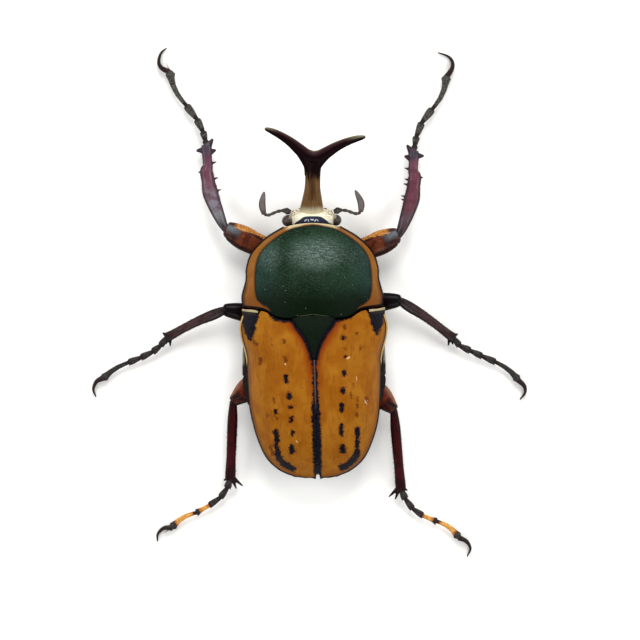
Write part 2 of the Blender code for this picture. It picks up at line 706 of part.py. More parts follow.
def femur(leg, word, finish, group, grow=0.0):
    """The thigh: a spindle from inside the hip to the knee."""
    shape, pose = LEG_SHAPE[leg], LEG_POSE[leg + "_" + word]
    hip, knee = Vector(mm(*pose["hip"])), Vector(mm(*pose["knee"]))
    ahead = (knee - hip).normalized()
    before = ahead.cross(UP).normalized()
    if before.y < 0:
        before = -before
    stations = [(*(hip - ahead * 1.0 * MM), 1.5 * MM, 1.4 * MM)]
    widths = shape["femur_widths"]
    for i, (width, lean) in enumerate(zip(widths, shape["femur_leans"])):
        t = i / (len(widths) - 1)
        height = shape["femur_height"] * (0.8 + 0.2 * math.sin(math.pi * t))
        place = hip.lerp(knee, t * 0.93) + before * lean * MM
        stations.append((*place, width * MM, height * MM))
    stations.append((*knee, widths[-1] * 0.6 * MM, shape["femur_height"] * 0.5 * MM))
    return limb("femur_" + leg + "_" + word, stations, 10, finish, group, grow)


def tibia_axis(leg, word, t):
    """A point of the shin's middle line, the direction to the foot, and the one to its outer edge."""
    pose = LEG_POSE[leg + "_" + word]
    knee, ankle = Vector(mm(*pose["knee"])), Vector(mm(*pose["ankle"]))
    ahead = (ankle - knee).normalized()
    outer = ahead.cross(UP).normalized()
    wrong_way = outer.y < 0 if leg == "middle" else outer.x * knee.x < 0
    if wrong_way:
        outer = -outer
    shares, leans, _ = zip(*LEG_SHAPE[leg]["shin"])
    lean = float(np.interp(t, shares, leans)) * MM
    return knee.lerp(ankle, t) + outer * lean, ahead, outer


def shin(leg, word, finish, group, grow=0.0):
    """The plain shaft of a shin."""
    shape = LEG_SHAPE[leg]
    stations = []
    for t, _, width in shape["shin"]:
        point, _, _ = tibia_axis(leg, word, t)
        stations.append((*point, width * MM, shape["tibia_height"] * MM))
    return limb("tibia_" + leg + "_" + word, stations, 8, finish, group, grow)


def tibia(leg, word, finish, group):
    """The shin with its row of teeth and the spurs at its end."""
    made = shin(leg, word, finish, group)
    shares, _, widths = zip(*LEG_SHAPE[leg]["shin"])
    teeth = []
    for t, edge, reach, slant in SHIN_TEETH[leg]:
        point, ahead, outer = tibia_axis(leg, word, t)
        away = outer if edge == "outer" else -outer
        half = float(np.interp(t, shares, widths)) / 2
        root = point + away * half * 0.35 * MM
        tip = point + away * (half + reach) * MM + ahead * slant * MM
        teeth.append(spike(root, tip, 0.4 * MM, group, sides=5))
    combine(made, teeth, "UNION")
    return made


def claw(points, level, group):
    """One hooked claw along its bends, thick at the root, with a flat where it touches the floor."""
    path = smooth_through(points, 7)
    sizes = np.linspace(0.95, 0.22, len(path))
    stations = []
    for i, ((x, y), size) in enumerate(zip(path, sizes)):
        z = 0.85 + (level - 0.85) * (0.3 + 0.7 * blend(0, 2, i))
        stations.append((x, y, z, size, size * 0.9))
    return limb("claw", mm(*stations), 6, None, group, floor=0.0)


def tarsus(leg, word, finish, group):
    """The foot: five joints, each narrow at its root and knobbed at its end, and two claws."""
    shape, pose = LEG_SHAPE[leg], LEG_POSE[leg + "_" + word]
    ankle, toes = Vector(mm(*pose["ankle"])), [Vector(row) for row in mm(*pose["foot"])]
    heading = (toes[0] - ankle).normalized()
    start = ankle + heading * GAP
    neck = 0.5 * MM
    _, _, outer = tibia_axis(leg, word, 1)
    stations = [(*start, neck, neck)]
    for end, knob in zip(toes, shape["tarsus_widths"]):
        swelling = [(0.25, 0.15), (0.88, 1.0)]
        side = (end - start).cross(UP).normalized()
        if side.dot(outer) < 0:
            side = -side
        bow = 0
        if end == toes[-1]:
            swelling.insert(1, (0.55, 0.45))
            bow = shape["last_joint_bow"] * MM
        for t, share in swelling:
            width = neck + (knob * MM - neck) * share
            point = start.lerp(end, t) + side * bow * math.sin(math.pi * t)
            stations.append((*point, width, width * 0.85))
        stations.append((*end, neck, neck))
        start = end
    made = limb("tarsus_" + leg + "_" + word, stations, 6, finish, group)
    claws = [claw(pose["claw"], level, group) for level in (0.24, 1.2)]
    combine(made, claws, "UNION")
    combine(made, [shin(leg, word, None, group, GAP)], "DIFFERENCE")
    return made


def make_legs(finishes, group):
    for leg in LEG_SHAPE:
        for side, word in ((-1, "left"), (1, "right")):
            coxa(leg, word, side, finishes["black"], group)
            thigh = femur(leg, word, finishes["thigh"], group)
            combine(thigh, [coxa(leg, "cut", side, None, group, GAP)], "DIFFERENCE")
            below = tibia(leg, word, finishes["shin"], group)
            combine(below, [femur(leg, word, None, group, GAP)], "DIFFERENCE")
            tarsus(leg, word, finishes["black"], group)


def clear_of_legs(body, legs, group):
    """Cuts the beds of the hips and thighs out of a piece of the body."""
    for leg in legs:
        for side, word in ((-1, "left"), (1, "right")):
            combine(body, [coxa(leg, "bed", side, None, group, GAP)], "DIFFERENCE")
            combine(body, [femur(leg, word, None, group, GAP)], "DIFFERENCE")


def main():
    for old in list(bpy.data.objects):
        bpy.data.objects.remove(old)
    group = bpy.data.collections.new("horned_flower_beetle")
    bpy.context.scene.collection.children.link(group)
    finishes = {
        "green": material("velvet_green", (0.012, 0.035, 0.020), 0.55),
        "ochre": material("ochre", (0.50, 0.20, 0.02), 0.35),
        "black": material("black", (0.015, 0.012, 0.012), 0.3),
        "cream": material("cream", (0.80, 0.72, 0.53), 0.5),
        "thigh": material("red_brown", (0.30, 0.08, 0.02), 0.3),
        "shin": material("plum", (0.05, 0.02, 0.03), 0.3),
        "horn": material("horn", (0.12, 0.07, 0.04), 0.35),
    }
    make_pronotum(finishes["green"], group)
    prosternum = make_prosternum(finishes["black"], group)
    make_scutellum(finishes["green"], group)
    metathorax = make_metathorax(finishes["black"], group)
    abdomen = make_abdomen(finishes["black"], group)
    make_pygidium(finishes["black"], group)
    for side, word in ((-1, "left"), (1, "right")):
        make_elytron(side, word, finishes["ochre"], group)
        make_mesepimeron(side, word, finishes["cream"], group)
        eye(word, side, finishes["black"], group)
        make_feeler(word, finishes["black"], group)
    make_head(finishes["cream"], group)
    make_horn(finishes["horn"], group)
    make_mouthparts(finishes["shin"], group)
    make_legs(finishes, group)
    clear_of_legs(prosternum, ("front", "middle"), group)
    clear_of_legs(metathorax, ("middle", "hind"), group)
    clear_of_legs(abdomen, ("hind",), group)


main()
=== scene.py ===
# %% [markdown]
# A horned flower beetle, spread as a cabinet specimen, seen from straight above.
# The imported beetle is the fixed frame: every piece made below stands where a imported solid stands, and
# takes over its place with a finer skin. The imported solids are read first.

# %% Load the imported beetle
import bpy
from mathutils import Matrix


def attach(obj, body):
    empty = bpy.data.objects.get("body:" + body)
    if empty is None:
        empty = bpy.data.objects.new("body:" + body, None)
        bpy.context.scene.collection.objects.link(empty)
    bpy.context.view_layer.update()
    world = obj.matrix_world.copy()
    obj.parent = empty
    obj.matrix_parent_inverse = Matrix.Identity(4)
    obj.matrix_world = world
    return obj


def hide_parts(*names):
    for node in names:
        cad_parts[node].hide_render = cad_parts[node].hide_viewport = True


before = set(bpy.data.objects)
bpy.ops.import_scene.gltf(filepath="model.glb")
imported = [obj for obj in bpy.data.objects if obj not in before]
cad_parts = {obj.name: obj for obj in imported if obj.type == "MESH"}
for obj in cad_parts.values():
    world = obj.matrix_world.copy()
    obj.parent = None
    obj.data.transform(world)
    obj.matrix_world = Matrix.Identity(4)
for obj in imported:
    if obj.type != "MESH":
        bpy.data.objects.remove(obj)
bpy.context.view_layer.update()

# %% [markdown]
# Small animals are easier to think of in millimetres, so each piece is worked in millimetres and
# brought down to metres at the very end. Outlines and heights of a body are smooth curves through a
# few measured points. A Catmull-Rom curve passes through its points, so a measured width stays true.

# %% Millimetres and smooth curves
import math
import random

import bmesh
import bpy
import numpy as np
from mathutils import Matrix, Vector

MM = 0.001
UP = Vector((0, 0, 1))
SIDES = ((-1, "left"), (1, "right"))
scene = bpy.context.scene
random.seed(7)


def smooth_through(knots, count):
    """Rows read at even steps from a Catmull-Rom curve through the knots."""
    knots = np.asarray(knots, float)
    padded = np.vstack([2 * knots[0] - knots[1], knots, 2 * knots[-1] - knots[-2]])
    rows = []
    for at in np.linspace(0, len(knots) - 1, count):
        i = min(int(at), len(knots) - 2)
        t = at - i
        a, b, c, d = padded[i : i + 4]
        cubic = (3 * (b - c) + d - a) * t**3
        rows.append(b + ((c - a) * t + (2 * a - 5 * b + 4 * c - d) * t**2 + cubic) / 2)
    return np.array(rows)


def profile(*knots):
    """A smooth function of one length through (position, value) knots."""
    dense = smooth_through(sorted(knots), 12 * len(knots))
    return lambda at: float(np.interp(at, dense[:, 0], dense[:, 1]))


def blend(start, end, value):
    """0 before start, 1 after end, and a smooth rise between them."""
    t = min(max((value - start) / (end - start), 0), 1)
    return t * t * (3 - 2 * t)


def bump(x, y, spot, radius):
    """A soft round swelling, 1 at the spot and nearly 0 a few radii away."""
    return math.exp(-((x - spot[0]) ** 2 + (y - spot[1]) ** 2) / radius**2)


print("a curve through 3 points, read at 5:", smooth_through([(0, 0), (1, 2), (2, 0)], 5)[:, 1].round(2))

# %% [markdown]
# The beetle was photographed from straight above, with its body's middle line turned by half a degree.
# A long lens far away keeps the legs and the back at one scale, as in the photograph.

# %% Camera above the specimen
VIEW_WIDTH = 640 / 7.0
VIEW_CENTRE = (0.91, 2.85)
VIEW_TURN = -0.0091
FOCAL_LENGTH = 600
SENSOR = 36
SHARP_HEIGHT = 5.0

camera_data = bpy.data.cameras.new("camera")
camera_data.lens = FOCAL_LENGTH
camera_data.sensor_width = SENSOR
camera_data.clip_end = 20
camera = bpy.data.objects.new("camera", camera_data)
distance = VIEW_WIDTH * FOCAL_LENGTH / SENSOR
camera.location = Vector((*VIEW_CENTRE, SHARP_HEIGHT + distance)) * MM
camera.rotation_euler = (0, 0, VIEW_TURN)
scene.collection.objects.link(camera)
scene.camera = camera
print("camera", round(distance * MM, 3), "m above the beetle")

# %% [markdown]
# A finish is a small network of nodes. Nodes could be joined one by one, but a finish with forty of them
# is then hard to read. So a value that flows from a node is wrapped, and takes part in plain sums.
# Patterns read the piece's own coordinates in millimetres, so a grain of 0.1 is a tenth of a millimetre.

# %% Values that flow through a finish
class Flow:
    """What flows out of a node of a finish, ready to be added, taken away and multiplied."""

    def __init__(self, tree, socket):
        self.tree, self.socket = tree, socket

    def __add__(self, other):
        return sum_of("ADD", self, other)

    def __sub__(self, other):
        return sum_of("SUBTRACT", self, other)

    def __rsub__(self, other):
        return sum_of("SUBTRACT", other, self)

    def __mul__(self, other):
        return sum_of("MULTIPLY", self, other)

    def __abs__(self):
        return sum_of("ABSOLUTE", self)


def tree_of(*values):
    return next(value.tree for value in values if isinstance(value, Flow))


def add_node(tree, kind, inputs=(), output=0, **settings):
    """Adds a node, joins or sets its inputs, and gives back what flows out of one output."""
    made = tree.nodes.new(kind)
    for name, value in settings.items():
        setattr(made, name, value)
    for name, value in dict(inputs).items():
        if isinstance(value, Flow):
            tree.links.new(value.socket, made.inputs[name])
        else:
            made.inputs[name].default_value = value
    return Flow(tree, made.outputs[output])


def sum_of(operation, first, second=0.0):
    """One sum with two values, such as ADD, MULTIPLY or MAXIMUM."""
    return add_node(tree_of(first, second), "ShaderNodeMath", {0: first, 1: second}, operation=operation)


def larger(first, second):
    return sum_of("MAXIMUM", first, second)


def smaller(first, second):
    return sum_of("MINIMUM", first, second)


def parts_of(place):
    """The three coordinates of a place, apart."""
    apart = add_node(place.tree, "ShaderNodeSeparateXYZ", {"Vector": place})
    return [Flow(place.tree, socket) for socket in apart.socket.node.outputs]


print("a flow takes part in sums with + - * and abs")

# %% Patterns, shares and colours
def grain(place, scale, detail=3.0, rough=0.55, stretch=None):
    """Cloudy noise from 0 to 1, with so many spots to a millimetre."""
    if stretch:
        place = add_node(place.tree, "ShaderNodeMapping", {"Vector": place, "Scale": stretch})
    inputs = {"Vector": place, "Scale": scale, "Detail": detail, "Roughness": rough}
    return add_node(place.tree, "ShaderNodeTexNoise", inputs, "Fac")


def pits(place, scale, spread=1.0):
    """The distance to the nearest of scattered points, for the fine pits of a shell."""
    inputs = {"Vector": place, "Scale": scale, "Randomness": spread}
    return add_node(place.tree, "ShaderNodeTexVoronoi", inputs, "Distance")


def own_value(place, name):
    """A value that was worked out for each point of the piece and kept on it."""
    return add_node(place.tree, "ShaderNodeAttribute", output="Fac", attribute_name=name)


def between(value, start, end, low=0.0, high=1.0):
    """Low before start, high after end, and a smooth rise between them."""
    inputs = {"Value": value, "From Min": start, "From Max": end, "To Min": low, "To Max": high}
    return add_node(value.tree, "ShaderNodeMapRange", inputs, "Result", interpolation_type="SMOOTHSTEP")


def dimples(place, scale, radius):
    """1 in the middle of scattered small pits, 0 from the radius on."""
    return between(pits(place, scale), radius, 0.0)


def wobble(noise, reach):
    """Noise from 0 to 1, moved and scaled so that it swings about zero."""
    return (noise - 0.5) * reach


def paint(red, green, blue):
    """A colour as seen on screen, 0 to 255, as the linear colour that a shader wants."""
    shades = []
    for value in (red, green, blue):
        share = value / 255
        shades.append(share / 12.92 if share <= 0.04045 else ((share + 0.055) / 1.055) ** 2.4)
    return (*shades, 1)


def mixed(share, first, second):
    """The first colour, turning into the second as the share goes from 0 to 1."""
    inputs = {0: share, 6: first, 7: second}
    return add_node(tree_of(share, first, second), "ShaderNodeMix", inputs, 2, data_type="RGBA")


print("screen orange", [round(shade, 3) for shade in paint(165, 100, 16)])

# %% Begin and end a finish
def new_finish(name, roughness, coat=0.0, coat_roughness=0.1, specular=0.5):
    """A material, and the place of each point in millimetres."""
    made = bpy.data.materials.new(name)
    made.use_nodes = True
    shader = made.node_tree.nodes["Principled BSDF"]
    constants = {"Roughness": roughness, "Coat Weight": coat, "Coat Roughness": coat_roughness,
                 "Specular IOR Level": specular}
    for socket, value in constants.items():
        shader.inputs[socket].default_value = value
    own = add_node(made.node_tree, "ShaderNodeTexCoord", output="Object")
    return made, add_node(made.node_tree, "ShaderNodeMapping", {"Vector": own, "Scale": (1 / MM,) * 3})


def end_finish(made, colour, roughness, layers):
    """Joins colour, roughness and bumps to the shader. A layer is (height, depth in mm, strength)."""
    tree = made.node_tree
    flows = {"Base Color": colour}
    if roughness:
        flows["Roughness"] = roughness
    for height, depth, strength in layers:
        inputs = {"Height": height, "Distance": depth * MM, "Strength": strength}
        if "Normal" in flows:
            inputs["Normal"] = flows["Normal"]
        flows["Normal"] = add_node(tree, "ShaderNodeBump", inputs)
    for name, flow in flows.items():
        tree.links.new(flow.socket, tree.nodes["Principled BSDF"].inputs[name])
    print("finish", made.name, "of", len(tree.nodes), "nodes")
    return made


print("places are scaled by", round(1 / MM), "to be read in millimetres")

# %% [markdown]
# The specimen lies on plain pale paper under soft light. One small lamp would throw hard shadows and put
# a sharp glint on every leg. Four broad lamps round the beetle and pale surroundings keep the shadows
# faint, and the brightest one, beyond the head, still shows the form of the black legs.

# %% Pale floor and soft light
FLOOR_RADIUS = 4.0


def pale_paper():
    made, place = new_finish("pale_paper", 0.9, specular=0.2)
    fibres = grain(place, 1.2, 4, 0.6)
    tone = mixed(grain(place, 0.02, 2), paint(250, 249, 244), paint(252, 251, 248))
    tone = mixed(between(fibres, 0.3, 0.8), tone, paint(251, 250, 246))
    return end_finish(made, tone, None, [(fibres, 0.05, 0.15)])


def make_floor():
    disc = bmesh.new()
    bmesh.ops.create_circle(disc, cap_ends=True, segments=64, radius=FLOOR_RADIUS)
    data = bpy.data.meshes.new("floor")
    disc.to_mesh(data)
    disc.free()
    data.materials.append(pale_paper())
    floor = bpy.data.objects.new("floor", data)
    scene.collection.objects.link(floor)


def lamp(name, place, size, watts):
    """A square soft lamp that points at the beetle and isn't seen itself."""
    data = bpy.data.lights.new(name, "AREA")
    data.size = size
    data.energy = watts
    made = bpy.data.objects.new(name, data)
    made.location = Vector(place)
    made.rotation_euler = Vector(place).to_track_quat("Z", "Y").to_euler()
    made.visible_camera = False
    scene.collection.objects.link(made)


make_floor()
lamp("lamp_over_head", (0.05, 0.8, 0.75), 0.55, 8.4)
lamp("lamp_left", (-0.85, 0.15, 0.7), 0.5, 4.2)
lamp("lamp_right", (0.85, 0.05, 0.75), 0.5, 3.8)
lamp("lamp_behind", (0.1, -0.8, 0.8), 0.5, 3.0)
world = bpy.data.worlds.new("pale_room")
world.use_nodes = True
room_light = world.node_tree.nodes["Background"].inputs
room_light["Color"].default_value = (0.97, 0.98, 1.0, 1)
room_light["Strength"].default_value = 0.55
scene.world = world
scene.view_settings.view_transform = "Standard"

# %% [markdown]
# Every piece ends the same way: its faces are turned outwards, it is brought down to metres, it gets
# its finish and it rides on the body. A mark could be cut into the mesh or painted on an image. Here each
# point of a shell remembers how far it lies from the edge of the nearest mark, and the finish colours
# what is inside, so the edge of a mark stays sharp and can be made ragged by a little noise.

# %% Deliver a piece, and keep values on it
def deliver(bm, name, finish, slot, *nodes, outwards=True):
    """Turns a bmesh that was worked in millimetres into a piece of the beetle."""
    if outwards:
        bmesh.ops.recalc_face_normals(bm, faces=bm.faces)
    bmesh.ops.scale(bm, vec=(MM, MM, MM), verts=bm.verts)
    data = bpy.data.meshes.new(name)
    bm.to_mesh(data)
    bm.free()
    data.materials.append(finish)
    data.shade_smooth()
    piece = bpy.data.objects.new(name, data)
    scene.collection.objects.link(piece)
    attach(piece, "root")
    if nodes:
        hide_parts(*nodes)
    print(name, len(data.polygons), "faces")
    return piece


def read_points(piece, what):
    """The places or the normals of a piece's points, one row each."""
    flat = np.zeros(len(piece.data.vertices) * 3, np.float32)
    piece.data.vertices.foreach_get(what, flat)
    return flat.reshape(-1, 3).astype(float)


def points_of(piece):
    """The piece's points in millimetres."""
    return read_points(piece, "co") / MM


def on_right(spots):
    """Spots (x, y) of both halves, all moved to the right half."""
    return np.column_stack([np.abs(spots[:, 0]), spots[:, 1]])


def keep(piece, name, values):
    """Keeps one value for each point of the piece under a name that a finish reads."""
    own = piece.data.attributes.new(name, "FLOAT", "POINT")
    own.data.foreach_set("value", np.asarray(values, np.float32))


def distance_to(line, spots, closed=False):
    """How far each of the spots lies from a line of (x, y) corners."""
    starts = np.asarray(line, float)
    ends = np.roll(starts, -1, 0)
    if not closed:
        starts, ends = starts[:-1], ends[:-1]
    along = ends - starts
    reach = spots[:, None, :] - starts[None]
    share = np.clip((reach * along).sum(2) / np.maximum((along**2).sum(1), 1e-12), 0, 1)
    off = reach - share[..., None] * along
    return np.sqrt((off**2).sum(2)).min(1)


def depth_in(line, spots):
    """Distance to a closed outline, below 0 for the spots inside it."""
    corners = np.asarray(line, float)
    crossings = np.zeros(len(spots), int)
    for (x0, y0), (x1, y1) in zip(corners, np.roll(corners, -1, 0)):
        spans = (y0 > spots[:, 1]) != (y1 > spots[:, 1])
        with np.errstate(divide="ignore", invalid="ignore"):
            meets = x0 + (spots[:, 1] - y0) * (x1 - x0) / (y1 - y0)
        crossings += spans & (spots[:, 0] < meets)
    return distance_to(line, spots, True) * np.where(crossings % 2, -1, 1)


print("a spot 1 mm off a line:", distance_to([(0, 0), (5, 0)], np.array([[2.0, 1.0]])))

# %% [markdown]
# The wing cases are two thin vaulted shells that meet along the back. They could be cut from half a ball,
# but their outline isn't round. So each starts as a flat grid, which is laid over the same outline and
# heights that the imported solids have. The grid is fine enough to carry a knob at the shoulder and one
# near the tip, a raised seam and a rolled outer edge. Last it gets its thickness.

# %% The vault of the wing cases
ELYTRA_SIDE = (
    (10.05, 3.68), (10.48, 2.2), (10.45, 1.0), (10.27, 0.0), (9.65, -2.5), (9.5, -6.0), (9.25, -9.8),
    (8.45, -13.5), (7.1, -16.6), (5.2, -18.5), (3.0, -19.5),
)
ELYTRA_SIDE_LINE = smooth_through(ELYTRA_SIDE, 120)
ELYTRA_CROWN = profile(
    (4.5, 12.5), (1.0, 13.3), (-3.0, 13.6), (-8.0, 13.3), (-12.0, 12.3), (-15.0, 10.8),
    (-17.4, 8.7), (-19.0, 6.6), (-19.8, 5.4),
)
ELYTRA_EDGE = profile((4.5, 6.6), (0, 6.2), (-5, 5.8), (-12, 5.3), (-19.8, 5.0))
ELYTRA_SEAM = (2.8, -19.8)
SEAM_HALF_GAP = 0.03
SEAM_LEAN = profile((4, 0), (-3, 0.05), (-10, 0.2), (-20, 0.42))
SHIELD_HIND_MARGIN = profile(
    (0, 3.6), (2.0, 3.35), (3.6, 3.15), (5.2, 3.4), (6.4, 4.1), (7.4, 4.5), (10.2, 4.9)
)
SCUTELLUM_HALF_WIDTH = profile(
    (3.3, 3.15), (2.0, 2.4), (1.0, 1.65), (0.0, 1.05), (-1.0, 0.6), (-2.0, 0.3), (-2.7, 0.16)
)
SCUTELLUM_ENDS = (3.2, -2.6)
REAR_SHIFT = profile((-8, 0.0), (-12, 0.12))
BASE_GAP = 0.3
SHOULDER_STEP = 0.8


def elytra_half_width(y):
    return float(np.interp(y, ELYTRA_SIDE_LINE[::-1, 1], ELYTRA_SIDE_LINE[::-1, 0]))


def dome(x, half_width, edge, crown, fullness=2.6, roundness=0.6):
    """Height of a vaulted plate at x, from the edge at its side to the crown at the middle."""
    reach = min(abs(x) / half_width, 1)
    return edge + (crown - edge) * (1 - reach**fullness) ** roundness


def elytra_height(x, y):
    return dome(x, elytra_half_width(y), ELYTRA_EDGE(y), ELYTRA_CROWN(y))


def elytron_base(x):
    """Where a wing case starts: just behind the shield, and further back beside the shoulder plate."""
    return SHIELD_HIND_MARGIN(x) - BASE_GAP - SHOULDER_STEP * blend(7.4, 8.0, x)


def elytron_point(u, s):
    """A point of the right wing case, u from the seam to the side and s from the base to the tip."""
    at = s * (len(ELYTRA_SIDE_LINE) - 1)
    low = min(int(at), len(ELYTRA_SIDE_LINE) - 2)
    outer = ELYTRA_SIDE_LINE[low] + (ELYTRA_SIDE_LINE[low + 1] - ELYTRA_SIDE_LINE[low]) * (at - low)
    seam_y = ELYTRA_SEAM[0] + (ELYTRA_SEAM[1] - ELYTRA_SEAM[0]) * s
    seam_x = SEAM_HALF_GAP + 0.3 * blend(-18.6, -19.6, seam_y)
    if seam_y > SCUTELLUM_ENDS[1] - 0.3:
        seam_x = max(SCUTELLUM_HALF_WIDTH(seam_y) + 0.2, SEAM_HALF_GAP)
    spread = math.sin(u * math.pi / 2)
    x = seam_x + (outer[0] - seam_x) * spread
    y = seam_y + (outer[1] - seam_y) * spread - 0.06 * math.sin(math.pi * spread) * s**12
    first = ELYTRA_SEAM[0] + (ELYTRA_SIDE[0][1] - ELYTRA_SEAM[0]) * spread
    y += (elytron_base(x) - first) * (1 - s) ** 6
    return x, y, dome(x, outer[0], ELYTRA_EDGE(y), ELYTRA_CROWN(y))


print("crown of the wing cases", ELYTRA_CROWN(-3.0), "mm, width", 2 * elytra_half_width(2.2))

# %% Lay a grid over a surface
def laid_grid(across, along, place):
    """A grid of so many points each way, with every point moved to place(u, s)."""
    bm = bmesh.new()
    bmesh.ops.create_grid(bm, x_segments=across, y_segments=along, size=0.5)
    bmesh.ops.translate(bm, verts=bm.verts, vec=(0.5, 0.5, 0))
    for vert in bm.verts:
        vert.co = place(vert.co.x, vert.co.y)
    bmesh.ops.recalc_face_normals(bm, faces=bm.faces)
    if sum(face.normal.z for face in bm.faces) < 0:
        bmesh.ops.reverse_faces(bm, faces=bm.faces)
    bm.normal_update()
    return bm


def press(bm, relief):
    """Moves each point along its normal by relief(x, y), to raise knobs and sink grooves."""
    moves = [(vert, vert.normal * relief(vert.co.x, vert.co.y)) for vert in bm.verts]
    for vert, move in moves:
        vert.co += move
    bm.normal_update()


def thicken(piece, thickness):
    """Gives a shell its wall in millimetres, drawn inwards from the outer skin."""
    wall = piece.modifiers.new("wall", "SOLIDIFY")
    wall.thickness = thickness * MM
    wall.offset = -1


PIN_HOLE = (4.5, -2.4)


def elytron_relief(x, y):
    """Knobs, ribs and the rolled edge of a wing case, in millimetres above the plain vault."""
    side = elytra_half_width(y) - abs(x)
    seam = abs(x) - SEAM_HALF_GAP
    height = 0.22 * bump(abs(x), y, (8.5, 1.8), 1.1) + 0.28 * bump(abs(x), y, (5.2, -15.9), 1.3)
    height += 0.10 * math.exp(-((seam - 0.2) ** 2) / 0.12) * blend(-2, -6, y)
    height -= 0.07 * math.exp(-((seam - 1.0) ** 2) / 0.2) * blend(-2, -6, y)
    for row in (4.0, 6.1):
        height += 0.045 * math.exp(-((abs(x) - row) ** 2) / 0.3) * blend(2, -5, y) * blend(-18, -15, y)
    height += 0.07 * math.exp(-(side**2) / 0.05)
    if x > 0:
        height -= 0.35 * bump(x, y, PIN_HOLE, 0.2) - 0.05 * bump(x, y, (4.55, -2.45), 0.42)
    return height


print("shoulder knob", round(elytron_relief(8.5, 1.8), 2), "mm high")

# %% [markdown]
# The black marks are listed as they lie on this specimen, left and right apart, because no beetle has
# the same spots on both sides. A stroke is a width and the points of its line, and a patch is a closed
# outline. The seam stripe grows wider to the rear, and the shoulders and the base carry larger patches.

# %% Marks of the wing cases
PATCHES = (
    ((-10.2, 4.2), (-8.1, 4.2), (-7.95, 3.4), (-8.0, 2.9), (-8.3, 2.6), (-8.2, 2.1), (-8.35, 1.4),
     (-8.55, 0.8), (-8.8, 0.1), (-9.1, 0.0), (-9.45, 0.5), (-9.8, 1.2), (-10.1, 2.2), (-10.2, 3.0)),
    ((7.9, 4.4), (7.95, 3.7), (7.85, 3.3), (8.15, 2.9), (8.1, 2.3), (8.4, 1.9), (8.6, 1.2), (9.0, 0.75),
     (9.35, 1.1), (9.75, 2.0), (9.95, 3.0), (9.95, 4.4)),
    ((-6.5, 4.4), (-6.2, 3.7), (-6.0, 3.3), (-5.7, 2.95), (-5.35, 2.8), (-5.05, 2.95), (-4.8, 2.7),
     (-4.4, 2.8), (-4.1, 2.65), (-3.7, 2.75), (-3.3, 2.6), (-2.6, 2.5), (-2.6, 4.4)),
    ((2.6, 2.6), (3.4, 2.75), (3.8, 2.65), (4.2, 2.85), (4.5, 2.75), (4.9, 3.05), (5.3, 2.95), (5.6, 3.3),
     (5.8, 3.7), (6.2, 4.4), (2.6, 4.4)),
)
STROKES = (
    (0.5, (-4.0, -5.15), (-3.98, -5.85)), (0.62, (-3.62, -7.75), (-3.55, -8.05)),
    (0.5, (-3.42, -9.45), (-3.38, -9.55)), (0.48, (-3.3, -11.0), (-3.28, -11.4)),
    (0.42, (-3.22, -12.9), (-3.18, -13.35)), (0.58, (-3.3, -15.15), (-3.2, -15.85)),
    (0.36, (-5.56, -10.05), (-5.5, -10.35)), (0.62, (-5.6, -12.85), (-5.4, -14.15)),
    (0.52, (-5.5, -14.7), (-5.4, -15.9)),
    (0.8, (-5.3, -16.2), (-4.9, -17.1), (-4.3, -17.75), (-3.2, -18.3)),
    (0.42, (4.2, 0.2), (4.22, 0.35)), (0.3, PIN_HOLE, (4.48, -2.42)),
    (0.5, (4.3, -4.65), (4.28, -4.95)), (0.58, (4.05, -7.05), (3.98, -7.35)),
    (0.48, (3.92, -9.25), (3.88, -9.95)), (0.46, (3.82, -12.15), (3.8, -13.4)),
    (0.72, (3.98, -15.35), (3.94, -15.85)), (0.6, (6.1, -12.75), (6.1, -13.9)),
    (0.45, (6.05, -14.4), (6.05, -15.6)),
    (0.85, (6.0, -15.9), (5.75, -16.7), (5.3, -17.3), (4.6, -17.85), (3.9, -18.25)),
)
print(len(PATCHES), "black patches and", len(STROKES), "black strokes")

# %% Rusty marks, pale scratches and painted glints
RUSTY_STROKES = (
    (0.4, (-4.3, 0.1), (-4.25, -0.2)), (0.5, (-4.12, -2.4), (-4.05, -2.8)),
    (0.3, (-5.9, -0.6), (-5.9, -0.7)), (0.3, (-5.7, -8.2), (-5.7, -8.8)),
    (0.35, (-7.6, -2.6), (-7.7, -3.3)), (0.3, (-6.75, -10.4), (-6.7, -10.8)),
    (0.4, (-8.4, -0.2), (-8.1, -0.5)), (0.3, (4.4, 1.9), (4.4, 1.6)), (0.3, (6.2, 0.9), (6.2, 0.7)),
    (0.3, (6.7, -1.0), (6.65, -1.25)), (0.55, (7.4, -8.4), (7.35, -8.9)),
    (0.25, (4.3, -1.2), (4.5, -1.35)), (0.25, (5.7, -6.3), (5.6, -6.9)),
    (0.3, (-5.4, -11.0), (-5.35, -11.3)), (0.22, (5.2, -7.6), (5.2, -8.3)),
    (0.5, (-6.3, -15.2), (-5.9, -16.2)), (0.4, (6.4, -16.3), (6.1, -16.9)),
    (0.2, (6.15, -8.2), (6.1, -9.0)), (0.24, (6.1, -9.2), (6.08, -9.7)),
    (0.3, (6.05, -10.5), (6.05, -10.9)),
)
# Pale strokes: most are scratches, but the first, beside the pin hole, and the fourth, in a rusty mark, are
# painted glints of light.
PALE_SCRATCHES_AND_GLINTS = (
    (0.16, (4.75, -2.68), (5.05, -2.45)), (0.08, (7.1, -8.5), (7.5, -9.2)),
    (0.08, (7.05, -9.1), (7.55, -8.7)), (0.14, (-4.1, -3.3), (-4.05, -3.45)),
    (0.1, (-2.65, -14.3), (-2.4, -14.6)), (0.12, (5.9, -14.1), (6.05, -14.15)),
    (0.14, (-8.9, 1.55), (-8.85, 1.45)), (0.06, (6.0, -5.2), (6.1, -6.0)),
)
print(len(RUSTY_STROKES), "rusty strokes and", len(PALE_SCRATCHES_AND_GLINTS), "pale scratches")

